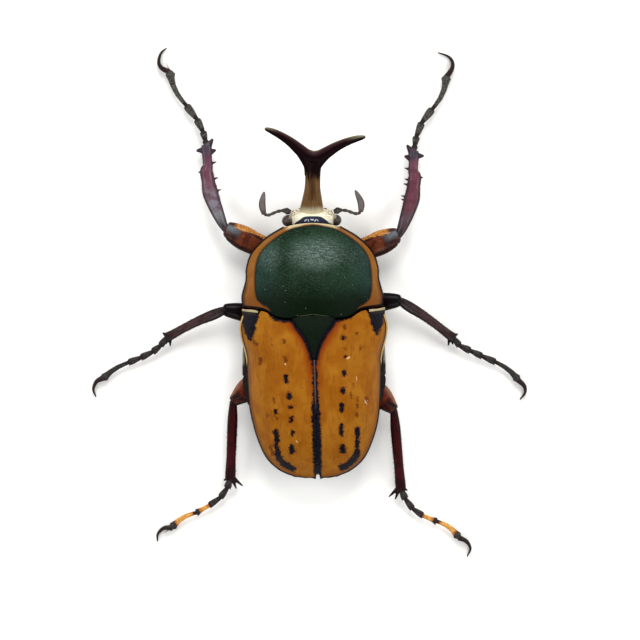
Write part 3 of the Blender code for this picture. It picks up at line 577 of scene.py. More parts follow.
# %% How far each point lies from a mark
SEAM_LINE = [(SEAM_LEAN(y), y) for y in np.linspace(-2.6, -20.2, 20)]
ELYTRA_OUTLINE = [*map(tuple, ELYTRA_SIDE_LINE), (1.5, -19.7), (0.0, -19.82)]
SEAM_STRIPE = profile((-2.6, 0.32), (-5, 0.3), (-8, 0.36), (-10, 0.5), (-14, 0.56), (-19.6, 0.5))
SCUTELLUM_SIDE = [(SCUTELLUM_HALF_WIDTH(y), y) for y in np.linspace(3.4, -2.6, 30)]
FAR = 2.0


def stroke_distance(strokes, spots):
    """Distance to the edge of the nearest stroke, below 0 inside it."""
    nearest = np.full(len(spots), 9.0)
    for width, *line in strokes:
        nearest = np.minimum(nearest, distance_to(line, spots) - width / 2)
    return nearest


def mark_wing_case(piece):
    """Keeps how far each point lies from the marks, the seam, the scutellum and the outer edge."""
    spots = points_of(piece)[:, :2]
    black = stroke_distance(STROKES, spots)
    for patch in PATCHES:
        black = np.minimum(black, depth_in(patch, spots))
    seam = distance_to(SEAM_LINE, spots)
    stripe = seam - np.array([SEAM_STRIPE(y) for y in spots[:, 1]])
    beside = distance_to(SCUTELLUM_SIDE, on_right(spots))
    shift = np.array([(REAR_SHIFT(y), 0) for y in spots[:, 1]])
    keep(piece, "black_mark", np.clip(np.minimum(black, stripe), -FAR, FAR))
    keep(piece, "band_mark", np.clip(beside - 0.4, -FAR, FAR))
    keep(piece, "rusty_mark", np.clip(stroke_distance(RUSTY_STROKES, spots), -FAR, FAR))
    keep(piece, "pale_mark", np.clip(stroke_distance(PALE_SCRATCHES_AND_GLINTS, spots), -FAR, FAR))
    keep(piece, "seam_distance", np.minimum(np.maximum(stripe, 0), np.maximum(beside - 0.3, 0)))
    keep(piece, "side_distance", distance_to(ELYTRA_OUTLINE, on_right(spots - shift)))
    keep(piece, "suture_distance", seam)


print("the seam runs from", SEAM_LINE[0][1], "to", SEAM_LINE[-1][1])

# %% [markdown]
# The wing cases are satin ochre, redder beside the seam near the base, and mottled with faint brown
# flecks. A mark cut at one distance would have an edge as clean as print. The real edges are ragged, so
# fine noise is added to the distance before it is cut. Small pits and streaks break up the gloss.

# %% Finish of the wing cases
def ochre_skin(place, soft, streaks, ragged):
    """The ochre with its streaks, the red glow beside the seam, rusty marks and tiny flecks."""
    ochre = mixed(between(soft, 0.3, 0.7), paint(132, 75, 9), paint(149, 95, 22))
    ochre = mixed(between(streaks, 0.48, 0.7, 0, 0.6), ochre, paint(116, 62, 10))
    glow = between(own_value(place, "seam_distance"), 1.5, 0.0) * between(parts_of(place)[1], -13, -1)
    ochre = mixed(glow * 0.9, ochre, paint(110, 30, 4))
    rusty = own_value(place, "rusty_mark") + ragged
    ochre = mixed(between(rusty, 0.16, -0.1, 0, 0.7), ochre, paint(70, 26, 8))
    flecks = between(pits(place, 0.75), 0.12, 0.05, 0, 0.6) * between(soft, 0.45, 0.6)
    return mixed(flecks, ochre, paint(90, 42, 10))


def black_ink(place, fine):
    """The blue-black of the marks, with a painted pale highlight along the seam where the two cases meet."""
    ink = mixed(between(fine, 0.35, 0.7), paint(4, 3, 6), paint(24, 24, 36))
    # Painted highlight: a thin pale line of light along the seam gap, laid into the black.
    seam_highlight = between(own_value(place, "suture_distance"), 0.11, 0.05)
    seam_highlight = seam_highlight * between(parts_of(place)[1], -10.5, -8.0, 0, 0.7)
    return mixed(seam_highlight, ink, paint(134, 112, 104))


def wing_case_finish():
    made, place = new_finish("wing_case_ochre", 0.42, specular=0.03)
    place_y = parts_of(place)[1]
    fine = grain(place, 3.5, 4)
    soft = grain(place, 0.35, 3)
    streaks = grain(place, 1.6, 4, 0.6, stretch=(1.6, 0.35, 1))
    ragged = wobble(fine, 0.5) + wobble(grain(place, 1.7, 2), 0.8)
    band = own_value(place, "band_mark") + ragged * 0.25
    black = smaller(own_value(place, "black_mark") + ragged, band)
    colour = ochre_skin(place, soft, streaks, ragged)
    colour = mixed(between(black, 0.3, 0.0, 0, 0.65), colour, paint(66, 24, 6))
    side = own_value(place, "side_distance")
    colour = mixed(between(side, 0.7, 0.3, 0, 0.5), colour, paint(92, 48, 12))
    side = side - between(place_y, -4.0, -2.5, 0, 0.15) * between(place_y, 3.7, 3.4)
    outside = between(side, 0.02, -0.06)
    colour = mixed(outside, colour, paint(178, 146, 84))
    # Pale scratches, and the painted glints of light among them.
    colour = mixed(between(own_value(place, "pale_mark"), 0.05, -0.03), colour, paint(214, 176, 128))
    line = between(side, 0.2, 0.1) * between(side, -0.1, 0.0)
    inked = larger(between(black, 0.09, -0.05), line) - outside
    colour = mixed(inked, colour, black_ink(place, fine))
    roughness = soft * 0.16 + 0.34 + fine * 0.1
    layers = [(dimples(place, 2.2, 0.28), 0.03, 0.25), (fine, 0.04, 0.2), (streaks, 0.06, 0.2)]
    return end_finish(made, colour, roughness, layers)


wing_case = wing_case_finish()

# %% The wing cases
WING_CASE_WALL = 0.45


def lean_seam(bm):
    """Moves the seam to the right towards the rear, and the outer edges by less."""
    for vert in bm.verts:
        share = min(abs(vert.co.x) / elytra_half_width(vert.co.y), 1)
        vert.co.x += SEAM_LEAN(vert.co.y) * (1 - share**2) + REAR_SHIFT(vert.co.y) * share**2


def make_elytron(side, word):
    bm = laid_grid(110, 190, lambda u, s: Vector(elytron_point(u, s)) * Vector((side, 1, 1)))
    press(bm, elytron_relief)
    lean_seam(bm)
    piece = deliver(bm, "wing_case_" + word, wing_case, "wing_case", "elytron_" + word, outwards=False)
    mark_wing_case(piece)
    thicken(piece, WING_CASE_WALL)


for side, word in SIDES:
    make_elytron(side, word)

# %% [markdown]
# The fore shield is one broad vault. Its middle is a silky dark green, framed by an ochre margin, and a
# thin black bead runs round its sides. It could be carved from a ball, but its outline would then have to
# be cut, so it is laid over its outline in the same way as the wing cases. Fine paler arcs run round
# the front, where the shell is scratched and the scratches are painted pale as a highlight, so one grain
# is drawn out along circles instead of along a line.

# %% The fore shield's shape
SHIELD_HALF_WIDTH = profile(
    (16.1, 4.2), (15.0, 6.2), (13.4, 8.0), (12.0, 8.93), (10.2, 9.43), (9.0, 9.45), (8.2, 9.6), (7.0, 9.93),
    (6.2, 10.08), (4.9, 9.97)
)
SHIELD_SHIFT = (-0.13, 0)
SHIELD_CROWN = profile((3.0, 12.5), (5.5, 12.6), (8.5, 12.2), (11.5, 11.0), (14.0, 9.3), (16.7, 7.0))
SHIELD_EDGE = profile((3.0, 6.5), (8.0, 6.3), (12.0, 5.9), (16.7, 5.4))
SHIELD_SIDE = (16.1, 4.9)
GREEN_SIDE = (
    (0, 16.4), (2.3, 16.05), (3.5, 15.65), (5.0, 14.8), (6.5, 13.65), (7.55, 12.4), (8.1, 11.0),
    (8.32, 9.0), (8.3, 7.5), (8.22, 6.7), (7.95, 5.8), (7.2, 5.1), (6.45, 4.65), (6.0, 4.0), (5.6, 3.0),
    (0, 2.6),
)


def shield_point(u, s):
    """A point of the fore shield, u across from the left side and s from the front to the rear."""
    half_width = SHIELD_HALF_WIDTH(SHIELD_SIDE[0] + (SHIELD_SIDE[1] - SHIELD_SIDE[0]) * s)
    across = math.sin((2 * u - 1) * math.pi / 2)
    x = across * half_width
    front = 16.7 - 0.6 * across**2
    y = front + (SHIELD_HIND_MARGIN(abs(x)) - front) * s
    return x, y, dome(x, half_width, SHIELD_EDGE(y), SHIELD_CROWN(y), 2.2, 0.7)


SHIELD_RIGHT_LINE = [shield_point(1, s)[:2] for s in np.linspace(0, 1, 60)]
SHIELD_FRONT_LINE = [shield_point(u, 0)[:2] for u in np.linspace(0, 1, 60)]
SHIELD_HIND_LINE = [shield_point(u, 1)[:2] for u in np.linspace(0, 1, 60)]


def shield_relief(x, y):
    side = max(SHIELD_HALF_WIDTH(min(max(y, 4.9), 16.1)) - abs(x), 0)
    bead = 0.12 * math.exp(-((side - 0.1) ** 2) / 0.03) - 0.05 * math.exp(-((side - 0.6) ** 2) / 0.06)
    dent = -0.05 * bump(abs(x), y, (6.9, 7.2), 0.8)
    return bead + dent


def green_outline():
    right = smooth_through(GREEN_SIDE, 120)
    return [*map(tuple, right), *((-x, y) for x, y in right[::-1])]


print("shield", round(2 * SHIELD_HALF_WIDTH(6.2), 2), "mm wide, green to x", GREEN_SIDE[7][0])

# %% Arcs and ovals on a surface
def swept(place, centre, squeeze):
    """Coordinates that run round a point, so that a grain on them is drawn out into arcs."""
    away = {"Vector": place, "Location": (-centre[0], -centre[1], 0)}
    across, along, _ = parts_of(add_node(place.tree, "ShaderNodeMapping", away))
    reach = sum_of("SQRT", across * across + along * along)
    turn = sum_of("ARCTAN2", across, along) * squeeze
    return add_node(place.tree, "ShaderNodeCombineXYZ", {"X": reach, "Y": turn})


def green_shell(place, streaks, fine):
    """The dark green that the shield and the scutellum share, with paler streaks."""
    soft = grain(place, 0.3, 3)
    green = mixed(between(soft, 0.35, 0.65), paint(12, 28, 12), paint(22, 42, 26))
    green = mixed(between(fine, 0.46, 0.66, 0, 0.6), green, paint(44, 66, 54))
    return mixed(between(streaks, 0.5, 0.68, 0, 0.5), green, paint(74, 96, 82))


def oval_share(place, centre, radii):
    """1 at the centre of an oval, falling softly to 0 at its edge."""
    inputs = {"Vector": place, "Scale": (1 / radii[0], 1 / radii[1], 0),
              "Location": (-centre[0] / radii[0], -centre[1] / radii[1], 0)}
    centred = add_node(place.tree, "ShaderNodeMapping", inputs)
    reach = add_node(place.tree, "ShaderNodeVectorMath", {0: centred}, "Value", operation="LENGTH")
    return between(reach, 1.15, 0.2)


print("a grain can run along a line or round a point")

# %% Colours of the fore shield
# Painted sheen: soft grey patches of reflected light on the green; centre, radii and strength.
PAINTED_SHEENS = (((0.6, 12.4), (5.0, 2.8), 0.9), ((-6.3, 12.0), (2.2, 2.6), 0.45), ((6.2, 11.2), (2.2, 2.8), 0.15))


def silky_green(place, streaks, fine):
    """The green of the shield, bluer to its sides, with patches of painted sheen, darker to the rear, and
    painted highlight specks.
    """
    place_x, place_y, _ = parts_of(place)
    green = green_shell(place, streaks, fine)
    green = mixed(between(abs(place_x), 4.0, 8.0, 0, 0.5) * fine, green, paint(40, 62, 66))
    level = grain(place, 4.5, 4, 0.6, stretch=(0.22, 1.0, 1))
    speckle = between(level, 0.35, 0.65) * between(fine, 0.35, 0.6)
    # Each glow is a painted sheen of reflected light, broken into specks.
    for centre, radii, strength in PAINTED_SHEENS:
        glow = oval_share(place, centre, radii) * strength * (speckle * 0.75 + 0.2)
        green = mixed(glow, green, paint(104, 122, 114))
    green = mixed(between(place_y, 9.0, 5.0, 0, 0.9), green, paint(3, 13, 2))
    # Painted highlight specks: small pale grey points of reflected light.
    highlight_specks = between(pits(place, 1.0), 0.075, 0.045, 0, 0.6)
    return mixed(highlight_specks, green, paint(130, 150, 142))


def shield_margin(place, green_depth):
    """The ochre margin, with cream at its front edge and a black bead round its sides and rear."""
    place_y = parts_of(place)[1]
    ochre = mixed(grain(place, 0.8, 4), paint(114, 64, 12), paint(142, 92, 34))
    ochre = mixed(between(place_y, 9.0, 5.0, 0, 0.55), ochre, paint(96, 48, 12))
    beside = own_value(place, "bead_distance")
    rim = between(beside, 0.6, 0.25) * between(place_y, 9.0, 7.5)
    ochre = mixed(rim * 0.7, ochre, paint(66, 34, 12))
    ochre = mixed(own_value(place, "cream"), ochre, paint(190, 172, 132))
    ochre = mixed(between(green_depth, 0.28, 0.05, 0, 0.8), ochre, paint(70, 38, 16))
    bead = larger(between(beside, 0.2, 0.12), between(own_value(place, "hind_distance"), 0.3, 0.18))
    return mixed(bead, ochre, paint(14, 10, 8))


def shield_finish():
    made, place = new_finish("shield_green", 0.45, specular=0.04)
    place_x, place_y, _ = parts_of(place)
    fine = grain(place, 5, 4)
    # Paler arcs: fine scratches, lightened as a painted highlight where they catch the light.
    arcs = grain(swept(place, (0.4, 6.0), 2.4), 4.5, 3, 0.6)
    rear = grain(place, 3.6, 4, 0.6, stretch=(1.0, 0.5, 1))
    in_front = between(place_y, 6.5, 11.5)
    streaks = arcs * in_front + rear * (0.85 - in_front)
    green_depth = own_value(place, "green_depth") + wobble(fine, 0.12)
    green = silky_green(place, streaks, fine)
    green = mixed(between(green_depth, -0.3, -0.04, 0, 0.7), green, paint(8, 14, 14))
    colour = mixed(between(green_depth, 0.03, -0.03), shield_margin(place, green_depth), green)
    lit = between(own_value(place, "hind_distance"), 0.12, 0.06)
    lit = lit * between(abs(place_x), 2.5, 1.8, 0, 0.6)
    colour = mixed(lit, colour, paint(96, 104, 80))
    layers = [(dimples(place, 3.2, 0.3), -0.03, 0.5), (streaks, 0.08, 0.6), (fine, 0.06, 0.5)]
    return end_finish(made, colour, fine * 0.3 + 0.25, layers)


shield_green = shield_finish()

# %% The fore shield
SHIELD_WALL = 0.5


def make_shield():
    bm = laid_grid(180, 130, shield_point)
    press(bm, shield_relief)
    bmesh.ops.translate(bm, verts=bm.verts, vec=(*SHIELD_SHIFT, 0))
    piece = deliver(bm, "fore_shield", shield_green, "green_shell", "pronotum", outwards=False)
    keep(piece, "green_depth", depth_in(green_outline(), points_of(piece)[:, :2]))
    spots = points_of(piece)[:, :2] - SHIELD_SHIFT
    keep(piece, "bead_distance", distance_to(SHIELD_RIGHT_LINE, on_right(spots)))
    keep(piece, "hind_distance", distance_to(SHIELD_HIND_LINE, spots))
    cream = []
    for front, x in zip(distance_to(SHIELD_FRONT_LINE, spots), np.abs(spots[:, 0])):
        edge = 0.12 + 0.3 * blend(0.8, 2.4, x)
        cream.append(blend(edge + 0.12, edge, front) * blend(4.0, 3.1, x))
    keep(piece, "cream", cream)
    thicken(piece, SHIELD_WALL)


make_shield()

# %% [markdown]
# Behind the shield a narrow triangle fills the start of the seam: the scutellum, as green as the shield
# but smoother, with black edges. At each shoulder stands a cream plate, seen as a pale line between the
# shield and the wing case. Both follow the height of the wing cases beside them.

# %% The triangle at the start of the seam
SCUTELLUM_WALL = 0.4


def scutellum_point(u, s):
    """A point of the triangle, u from left to right and s from its base to its tip."""
    across = 2 * u - 1
    y = SCUTELLUM_ENDS[0] + 0.25 + (SCUTELLUM_ENDS[1] - SCUTELLUM_ENDS[0] - 0.25) * s
    y -= 0.35 * across**2 * (1 - s) ** 3
    x = across * (SCUTELLUM_HALF_WIDTH(y) + 0.08)
    return x, y, elytra_height(x, y) - 0.05


def scutellum_finish():
    made, place = new_finish("scutellum_green", 0.5, specular=0.04)
    fine = grain(place, 5, 4)
    streaks = grain(place, 4.0, 4, 0.6, stretch=(1.0, 0.5, 1))
    green = mixed(0.85, green_shell(place, streaks * 0.8, fine), paint(3, 11, 1))
    colour = mixed(between(own_value(place, "edge_distance"), 0.35, 0.1), green, paint(10, 10, 12))
    layers = [(dimples(place, 2.5, 0.3), -0.03, 0.4), (streaks, 0.04, 0.3)]
    return end_finish(made, colour, fine * 0.2 + 0.38, layers)


def make_scutellum():
    bm = laid_grid(60, 100, scutellum_point)
    press(bm, lambda x, y: -0.1 * math.exp(-((SCUTELLUM_HALF_WIDTH(y) - abs(x)) ** 2) / 0.05))
    green = scutellum_finish()
    piece = deliver(bm, "scutellum_plate", green, "green_shell", "scutellum", outwards=False)
    keep(piece, "edge_distance", distance_to(SCUTELLUM_SIDE, on_right(points_of(piece)[:, :2])))
    thicken(piece, SCUTELLUM_WALL)


make_scutellum()

# %% [markdown]
# The shoulder plates are matte cream with a few brown specks, and black where they dip under the wing
# cases. They could be made as two parts of two colours. One plate that remembers how far each point lies
# behind the shield has a natural, uneven border instead.

# %% Finish of the cream plates
def cream_finish():
    made, place = new_finish("cream_plate", 0.5, specular=0.1)
    fine = grain(place, 6, 4)
    cream = mixed(grain(place, 1.4, 4), paint(140, 128, 90), paint(184, 172, 134))
    specks = between(pits(place, 3.0), 0.2, 0.06, 0, 0.7)
    cream = mixed(specks * fine, cream, paint(120, 88, 52))
    black = mixed(fine, paint(12, 10, 9), paint(34, 28, 22))
    behind = own_value(place, "behind") + fine * 0.12
    colour = mixed(between(behind, 0.66, 0.76), cream, black)
    return end_finish(made, colour, fine * 0.2 + 0.4, [(fine, 0.04, 0.4)])


# %% The cream shoulder plates
PLATE_START = 7.9
PLATE_LENGTH = 2.3
PLATE_WIDTH = 1.25
PLATE_FLOOR = 6.1


def shoulder_point(side, u, s, t):
    """A point of a plate: u outwards, s to the rear and t up."""
    x = PLATE_START + PLATE_LENGTH * u
    width = PLATE_WIDTH * math.sin(math.pi * (0.1 + 0.78 * u)) ** 0.3
    y = SHIELD_HIND_MARGIN(x) - 0.34 + 0.04 * math.sin(7 * u + side) - width * s
    top = max(min(elytra_height(x, y), 10) - 0.35, PLATE_FLOOR + 0.5)
    return side * x, y, PLATE_FLOOR + (top - PLATE_FLOOR) * t


def new_block(cuts):
    """A cube from 0 to 1 each way, cut into many small ones."""
    bm = bmesh.new()
    bmesh.ops.create_cube(bm, size=1, matrix=Matrix.Translation((0.5, 0.5, 0.5)))
    bmesh.ops.subdivide_edges(bm, edges=bm.edges, cuts=cuts, use_grid_fill=True)
    return bm


def make_shoulder_plate(side, word, finish):
    bm = new_block(7)
    for vert in bm.verts:
        vert.co = shoulder_point(side, *vert.co)
    bmesh.ops.recalc_face_normals(bm, faces=bm.faces)
    corners = [edge for edge in bm.edges if edge.calc_face_angle(0) > 1.0]
    bmesh.ops.bevel(bm, geom=corners, offset=0.04, segments=2, profile=0.5, affect="EDGES")
    piece = deliver(bm, "shoulder_plate_" + word, finish, "cream_shell", "mesepimeron_" + word)
    keep(piece, "behind", [SHIELD_HIND_MARGIN(abs(x)) - y for x, y, _ in points_of(piece)])


cream_plate = cream_finish()
for side, word in SIDES:
    make_shoulder_plate(side, word, cream_plate)

# %% [markdown]
# Limbs, horn and head are tubes of oval sections. A tube starts as one ring, which is drawn out from
# station to station, so every section stays square to the way it runs. Teeth and claws are small tubes
# that overlap a larger one. Melting them together gives one skin with soft valleys, like grown horn.

# %% Tubes, balls and spines
def section_frame(before, after, centre, width, height):
    """Where a section stands: its sides, its top and the way it faces, as one matrix."""
    along = (Vector(after) - Vector(before)).normalized()
    side = along.cross(UP)
    side = side.normalized() if side.length > 1e-4 else Vector((1, 0, 0))
    up = side.cross(along)
    turned = Matrix((side * width / 2, up * height / 2, along)).transposed().to_4x4()
    return Matrix.Translation(Vector(centre)) @ turned


def add_tube(bm, stations, sides=20, squareness=2.0):
    """Draws a closed tube through stations of (x, y, z, width, height)."""
    last = len(stations) - 1
    frames = []
    for i, (x, y, z, width, height) in enumerate(stations):
        before, after = stations[max(i - 1, 0)][:3], stations[min(i + 1, last)][:3]
        frames.append(section_frame(before, after, (x, y, z), width, height))
    ring = bmesh.ops.create_circle(bm, segments=sides, radius=1, cap_ends=True)["verts"]
    for vert in ring:
        for i in (0, 1):
            vert.co[i] = math.copysign(abs(vert.co[i]) ** (2 / squareness), vert.co[i])
    edges = list({edge for vert in ring for edge in vert.link_edges})
    bmesh.ops.transform(bm, matrix=frames[0], verts=ring)
    for before, after in zip(frames, frames[1:]):
        drawn = bmesh.ops.extrude_edge_only(bm, edges=edges)["geom"]
        edges = [item for item in drawn if isinstance(item, bmesh.types.BMEdge)]
        ring = [item for item in drawn if isinstance(item, bmesh.types.BMVert)]
        bmesh.ops.transform(bm, matrix=after @ before.inverted(), verts=ring)
    bmesh.ops.contextual_create(bm, geom=edges)


def add_ball(bm, centre, radii, turn=0.0, turns=32, steps=20):
    """Adds an ellipsoid, turned by so many degrees about the vertical."""
    place = Matrix.Translation(Vector(centre)) @ Matrix.Rotation(math.radians(turn), 4, "Z")
    place = place @ Matrix.Diagonal((*radii, 1))
    bmesh.ops.create_uvsphere(bm, u_segments=turns, v_segments=steps, radius=1, matrix=place)


def add_spine(bm, root, tip, width, point=0.12):
    """Adds a straight tapered spine, whose tip is so large a share of its root."""
    stations = []
    for t in (0, 0.3, 0.6, 0.85, 1):
        size = width * (1 - t * (1 - point))
        stations.append((*root.lerp(tip, t), size, size))
    add_tube(bm, stations, 10)


tried = bmesh.new()
add_spine(tried, Vector((0, 0, 0)), Vector((0, 2, 0)), 0.5)
print("a trial spine has", len(tried.faces), "faces")
tried.free()

# %% Melting them into one skin
def melt(bm, grain_size, passes):
    """Melts overlapping closed shapes into one skin of small even faces, and eases it."""
    every_axis = {"use_axis_" + axis: True for axis in "xyz"}
    bmesh.ops.recalc_face_normals(bm, faces=bm.faces)
    data = bpy.data.meshes.new("rough")
    bm.to_mesh(data)
    rough = bpy.data.objects.new("rough", data)
    scene.collection.objects.link(rough)
    change = rough.modifiers.new("melt", "REMESH")
    change.mode = "VOXEL"
    change.voxel_size = grain_size
    skin = bpy.data.meshes.new_from_object(rough.evaluated_get(bpy.context.evaluated_depsgraph_get()))
    bpy.data.objects.remove(rough)
    bm.clear()
    bm.from_mesh(skin)
    bpy.data.meshes.remove(skin)
    for _ in range(passes):
        bmesh.ops.smooth_vert(bm, verts=bm.verts, factor=0.5, **every_axis)
    bm.normal_update()


def smooth_stations(stations, count):
    """The stations of a tube, read more closely along a smooth curve, with no width below a hair."""
    rows = smooth_through(stations, count)
    rows[:, 3:] = np.maximum(rows[:, 3:], 0.05)
    return [tuple(row) for row in rows]


tried = bmesh.new()
add_tube(tried, smooth_stations([(0, 0, 0, 1, 1), (0, 2, 0, 1.2, 1), (0, 4, 1, 1, 1)], 12))
melt(tried, 0.1, 2)
print("a melted trial tube has", len(tried.verts), "points")
tried.free()

# %% [markdown]
# The horn rises from the face, a flattened stem that opens into two pointed prongs. It is cream at its
# root, brown with dark streaks along its middle, and plum black at the fork. Where the fork and the tips
# face the front, towards the brightest lamp, a painted highlight turns the plum mauve and gives each
# prong a paler olive edge. Stem and prongs are tubes that are melted together at the fork.

# %% The horn's shape
HORN_STEM = (
    (-0.15, 17.8, 4.9, 3.0, 1.6), (-0.15, 18.3, 5.2, 3.4, 1.8), (-0.13, 18.7, 5.5, 3.4, 1.9),
    (-0.1, 19.2, 5.82, 3.2, 2.0), (-0.03, 20.6, 6.85, 2.65, 1.9), (0.02, 22.0, 8.0, 2.2, 1.75),
    (0.12, 24.0, 9.2, 2.2, 1.5), (0.17, 25.2, 9.85, 2.5, 1.3), (0.17, 26.2, 10.2, 2.5, 1.0),
)
FORK_CENTRE = (0.15, 26.2, 10.3)
FORK_TURN = math.radians(-5.3)
HORN_FORK = (
    (0.25, -2.8, -1.15, 1.5, 1.2), (0.4, -1.5, -0.6, 1.7, 1.2), (0.95, -0.55, -0.15, 1.7, 1.2),
    (1.9, 0.35, 0.15, 1.3, 1.1), (2.9, 1.25, 0.4, 0.8, 0.9),
)
HORN_PRONG = (
    (0.0, -0.12, 0.0, 1.85, 1.2), (1.0, 0.1, 0.08, 1.85, 1.2), (2.0, 0.75, 0.28, 1.75, 1.15),
    (3.3, 1.68, 0.55, 1.45, 1.1), (4.7, 2.45, 0.8, 1.2, 1.0),
    (6.0, 2.98, 1.05, 0.98, 0.85), (6.8, 3.22, 1.2, 0.72, 0.6), (7.25, 3.34, 1.3, 0.42, 0.3),
)


def fork_stations(rows, side):
    """Rows of (along, ahead, rise, width, height) on one side of the fork, as stations of a tube."""
    cosine, sine = math.cos(FORK_TURN), math.sin(FORK_TURN)
    stations = []
    for along, ahead, rise, width, height in rows:
        x = side * along * cosine - ahead * sine
        y = side * along * sine + ahead * cosine
        stations.append((FORK_CENTRE[0] + x, FORK_CENTRE[1] + y, FORK_CENTRE[2] + rise, width, height))
    return stations


def horn_relief(x, y):
    """A shallow channel along the middle of the stem, and a raised edge on both sides of it."""
    share = blend(18.9, 20.0, y) * blend(25.5, 23.5, y)
    return share * (0.05 * math.exp(-((abs(x) - 0.85) ** 2) / 0.06) - 0.12 * math.exp(-(x**2) / 0.12))


def horn_finish():
    made, place = new_finish("horn_plum", 0.4, specular=0.03)
    x, y, _ = parts_of(place)
    streaks = grain(place, 2.6, 4, 0.6, stretch=(1.6, 0.16, 0.3))
    fine = grain(place, 5, 4)
    up = y + wobble(streaks, 3.2)
    root = y + wobble(streaks, 0.9)
    brown = mixed(between(root, 18.0, 19.3), paint(196, 188, 156), paint(103, 76, 46))
    middle = between(abs(x), 0.7, 0.1) * between(up, 19.4, 20.8, 0, 0.75)
    brown = mixed(middle, brown, paint(56, 29, 15))
    dark_streaks = between(streaks, 0.52, 0.68, 0, 0.6) * between(y, 18.9, 20.0)
    brown = mixed(dark_streaks, brown, paint(60, 34, 18))
    # Painted highlight: where a point faces the front, towards the brightest lamp, the plum turns mauve, the
    # prongs get a pale olive edge and the tips turn pale.
    front = own_value(place, "frontness")
    plum = mixed(fine, paint(6, 1, 2), paint(22, 5, 9))
    plum = mixed(between(front, -0.1, 0.5, 0, 0.85), plum, paint(58, 37, 41))
    edge = between(front, 0.45, 0.85) * between(y, 25.6, 26.8)
    plum = mixed(edge * 0.75, plum, paint(112, 104, 74))
    tip_highlight = between(abs(x), 4.6, 6.8) * between(front, -0.3, 0.5)
    plum = mixed(tip_highlight * 0.85, plum, paint(108, 106, 84))
    colour = mixed(between(up, 22.2, 23.9), brown, plum)
    layers = [(streaks, 0.08, 0.4), (dimples(place, 3.5, 0.25), -0.02, 0.3)]
    return end_finish(made, colour, fine * 0.2 + 0.25, layers)


def make_horn():
    bm = bmesh.new()
    add_tube(bm, smooth_stations(HORN_STEM, 30), 32, 2.3)
    for side in (-1, 1):
        add_tube(bm, smooth_stations(fork_stations(HORN_FORK, side), 24), 28)
    bow = [*fork_stations(HORN_PRONG, -1)[::-1], *fork_stations(HORN_PRONG[1:], 1)]
    add_tube(bm, smooth_stations(bow, 70), 28)
    melt(bm, 0.09, 10)
    press(bm, horn_relief)
    piece = deliver(bm, "forked_horn", horn_finish(), "horn", "horn")
    keep(piece, "frontness", read_points(piece, "normal")[:, 1])


make_horn()

# %% [markdown]
# The head is squared and cream coloured above, with a blunt corner on each side of the horn and a ridge
# over each eye. A blue-black crescent shows behind it, where the head slips under the shield. Its
# underside is black, with a chin plate, two jointed palps and the brush that laps up sap.

# %% The head
HEAD_RINGS = (
    (15.4, 2.3, 3.6, 5.3), (15.9, 2.5, 3.5, 5.5), (16.5, 2.95, 3.1, 5.95), (17.0, 3.1, 2.95, 6.3),
    (17.5, 3.1, 3.0, 6.5), (18.0, 2.95, 3.15, 6.5), (18.3, 2.7, 3.4, 6.35), (18.5, 2.3, 3.75, 6.1),
)
OCCIPUT = (
    (-2.75, 16.3), (-2.5, 16.75), (-1.9, 17.15), (-1.2, 17.6), (0.0, 17.68), (1.1, 17.6), (1.8, 17.2),
    (2.3, 16.75), (2.6, 16.3), (0, 15.0),
)
WHITE_MARKS = (
    (0.12, (-1.15, 17.0), (-0.9, 17.2)), (0.1, (-0.6, 16.95), (-0.65, 17.2)),
    (0.14, (-0.25, 17.2), (0.1, 17.15)), (0.12, (0.3, 16.95), (0.45, 17.2)),
    (0.1, (0.75, 17.0), (0.65, 17.15)),
)


# Rows of (x, y, z, width, height) on the right side.
BROW = ((2.4, 17.5, 5.6, 1.1, 0.8), (2.95, 17.6, 5.65, 0.9, 0.6), (3.35, 17.5, 5.55, 0.6, 0.4))
CHEEK = ((2.2, 17.0, 4.2, 2.2, 1.6), (3.0, 17.1, 4.3, 1.6, 1.4))


def on_side(side, rows):
    """Rows that start with x, moved to the left side where side is -1."""
    return [(side * x, *rest) for x, *rest in rows]


def head_relief(x, y):
    """A hollow face between two low ridges that run back from the corners."""
    front = blend(16.9, 17.5, y)
    hollow = -0.15 * math.exp(-(x**2) / 1.6) * front * blend(18.6, 18.0, y)
    ridge = 0.1 * math.exp(-((abs(x) - 2.45) ** 2) / 0.12) * front
    return hollow + ridge


def head_finish():
    made, place = new_finish("head_cream", 0.5, specular=0.1)
    clouds = grain(place, 1.4, 4)
    fine = grain(place, 6, 4)
    cream = mixed(clouds, paint(212, 206, 178), paint(234, 230, 208))
    aside = between(own_value(place, "side"), 2.75, 3.05, 0, 0.75)
    cream = mixed(aside, cream, paint(96, 76, 56))
    specks = between(fine, 0.4, 0.6) * (own_value(place, "corner") + 0.06)
    cream = mixed(specks, cream, paint(112, 84, 52))
    blue_black = mixed(fine, paint(18, 20, 30), paint(48, 54, 76))
    white = between(own_value(place, "white_mark"), 0.05, -0.03, 0, 0.8)
    blue_black = mixed(white, blue_black, paint(200, 206, 220))
    upper = mixed(between(own_value(place, "occiput"), 0.06, -0.06), cream, blue_black)
    low = between(parts_of(place)[2] + clouds * 0.6, 4.7, 4.2)
    colour = mixed(low, upper, mixed(fine, paint(16, 12, 12), paint(40, 30, 26)))
    layers = [(dimples(place, 3.4, 0.28), -0.05, 0.5), (fine, 0.03, 0.3)]
    return end_finish(made, colour, fine * 0.2 + 0.36, layers)


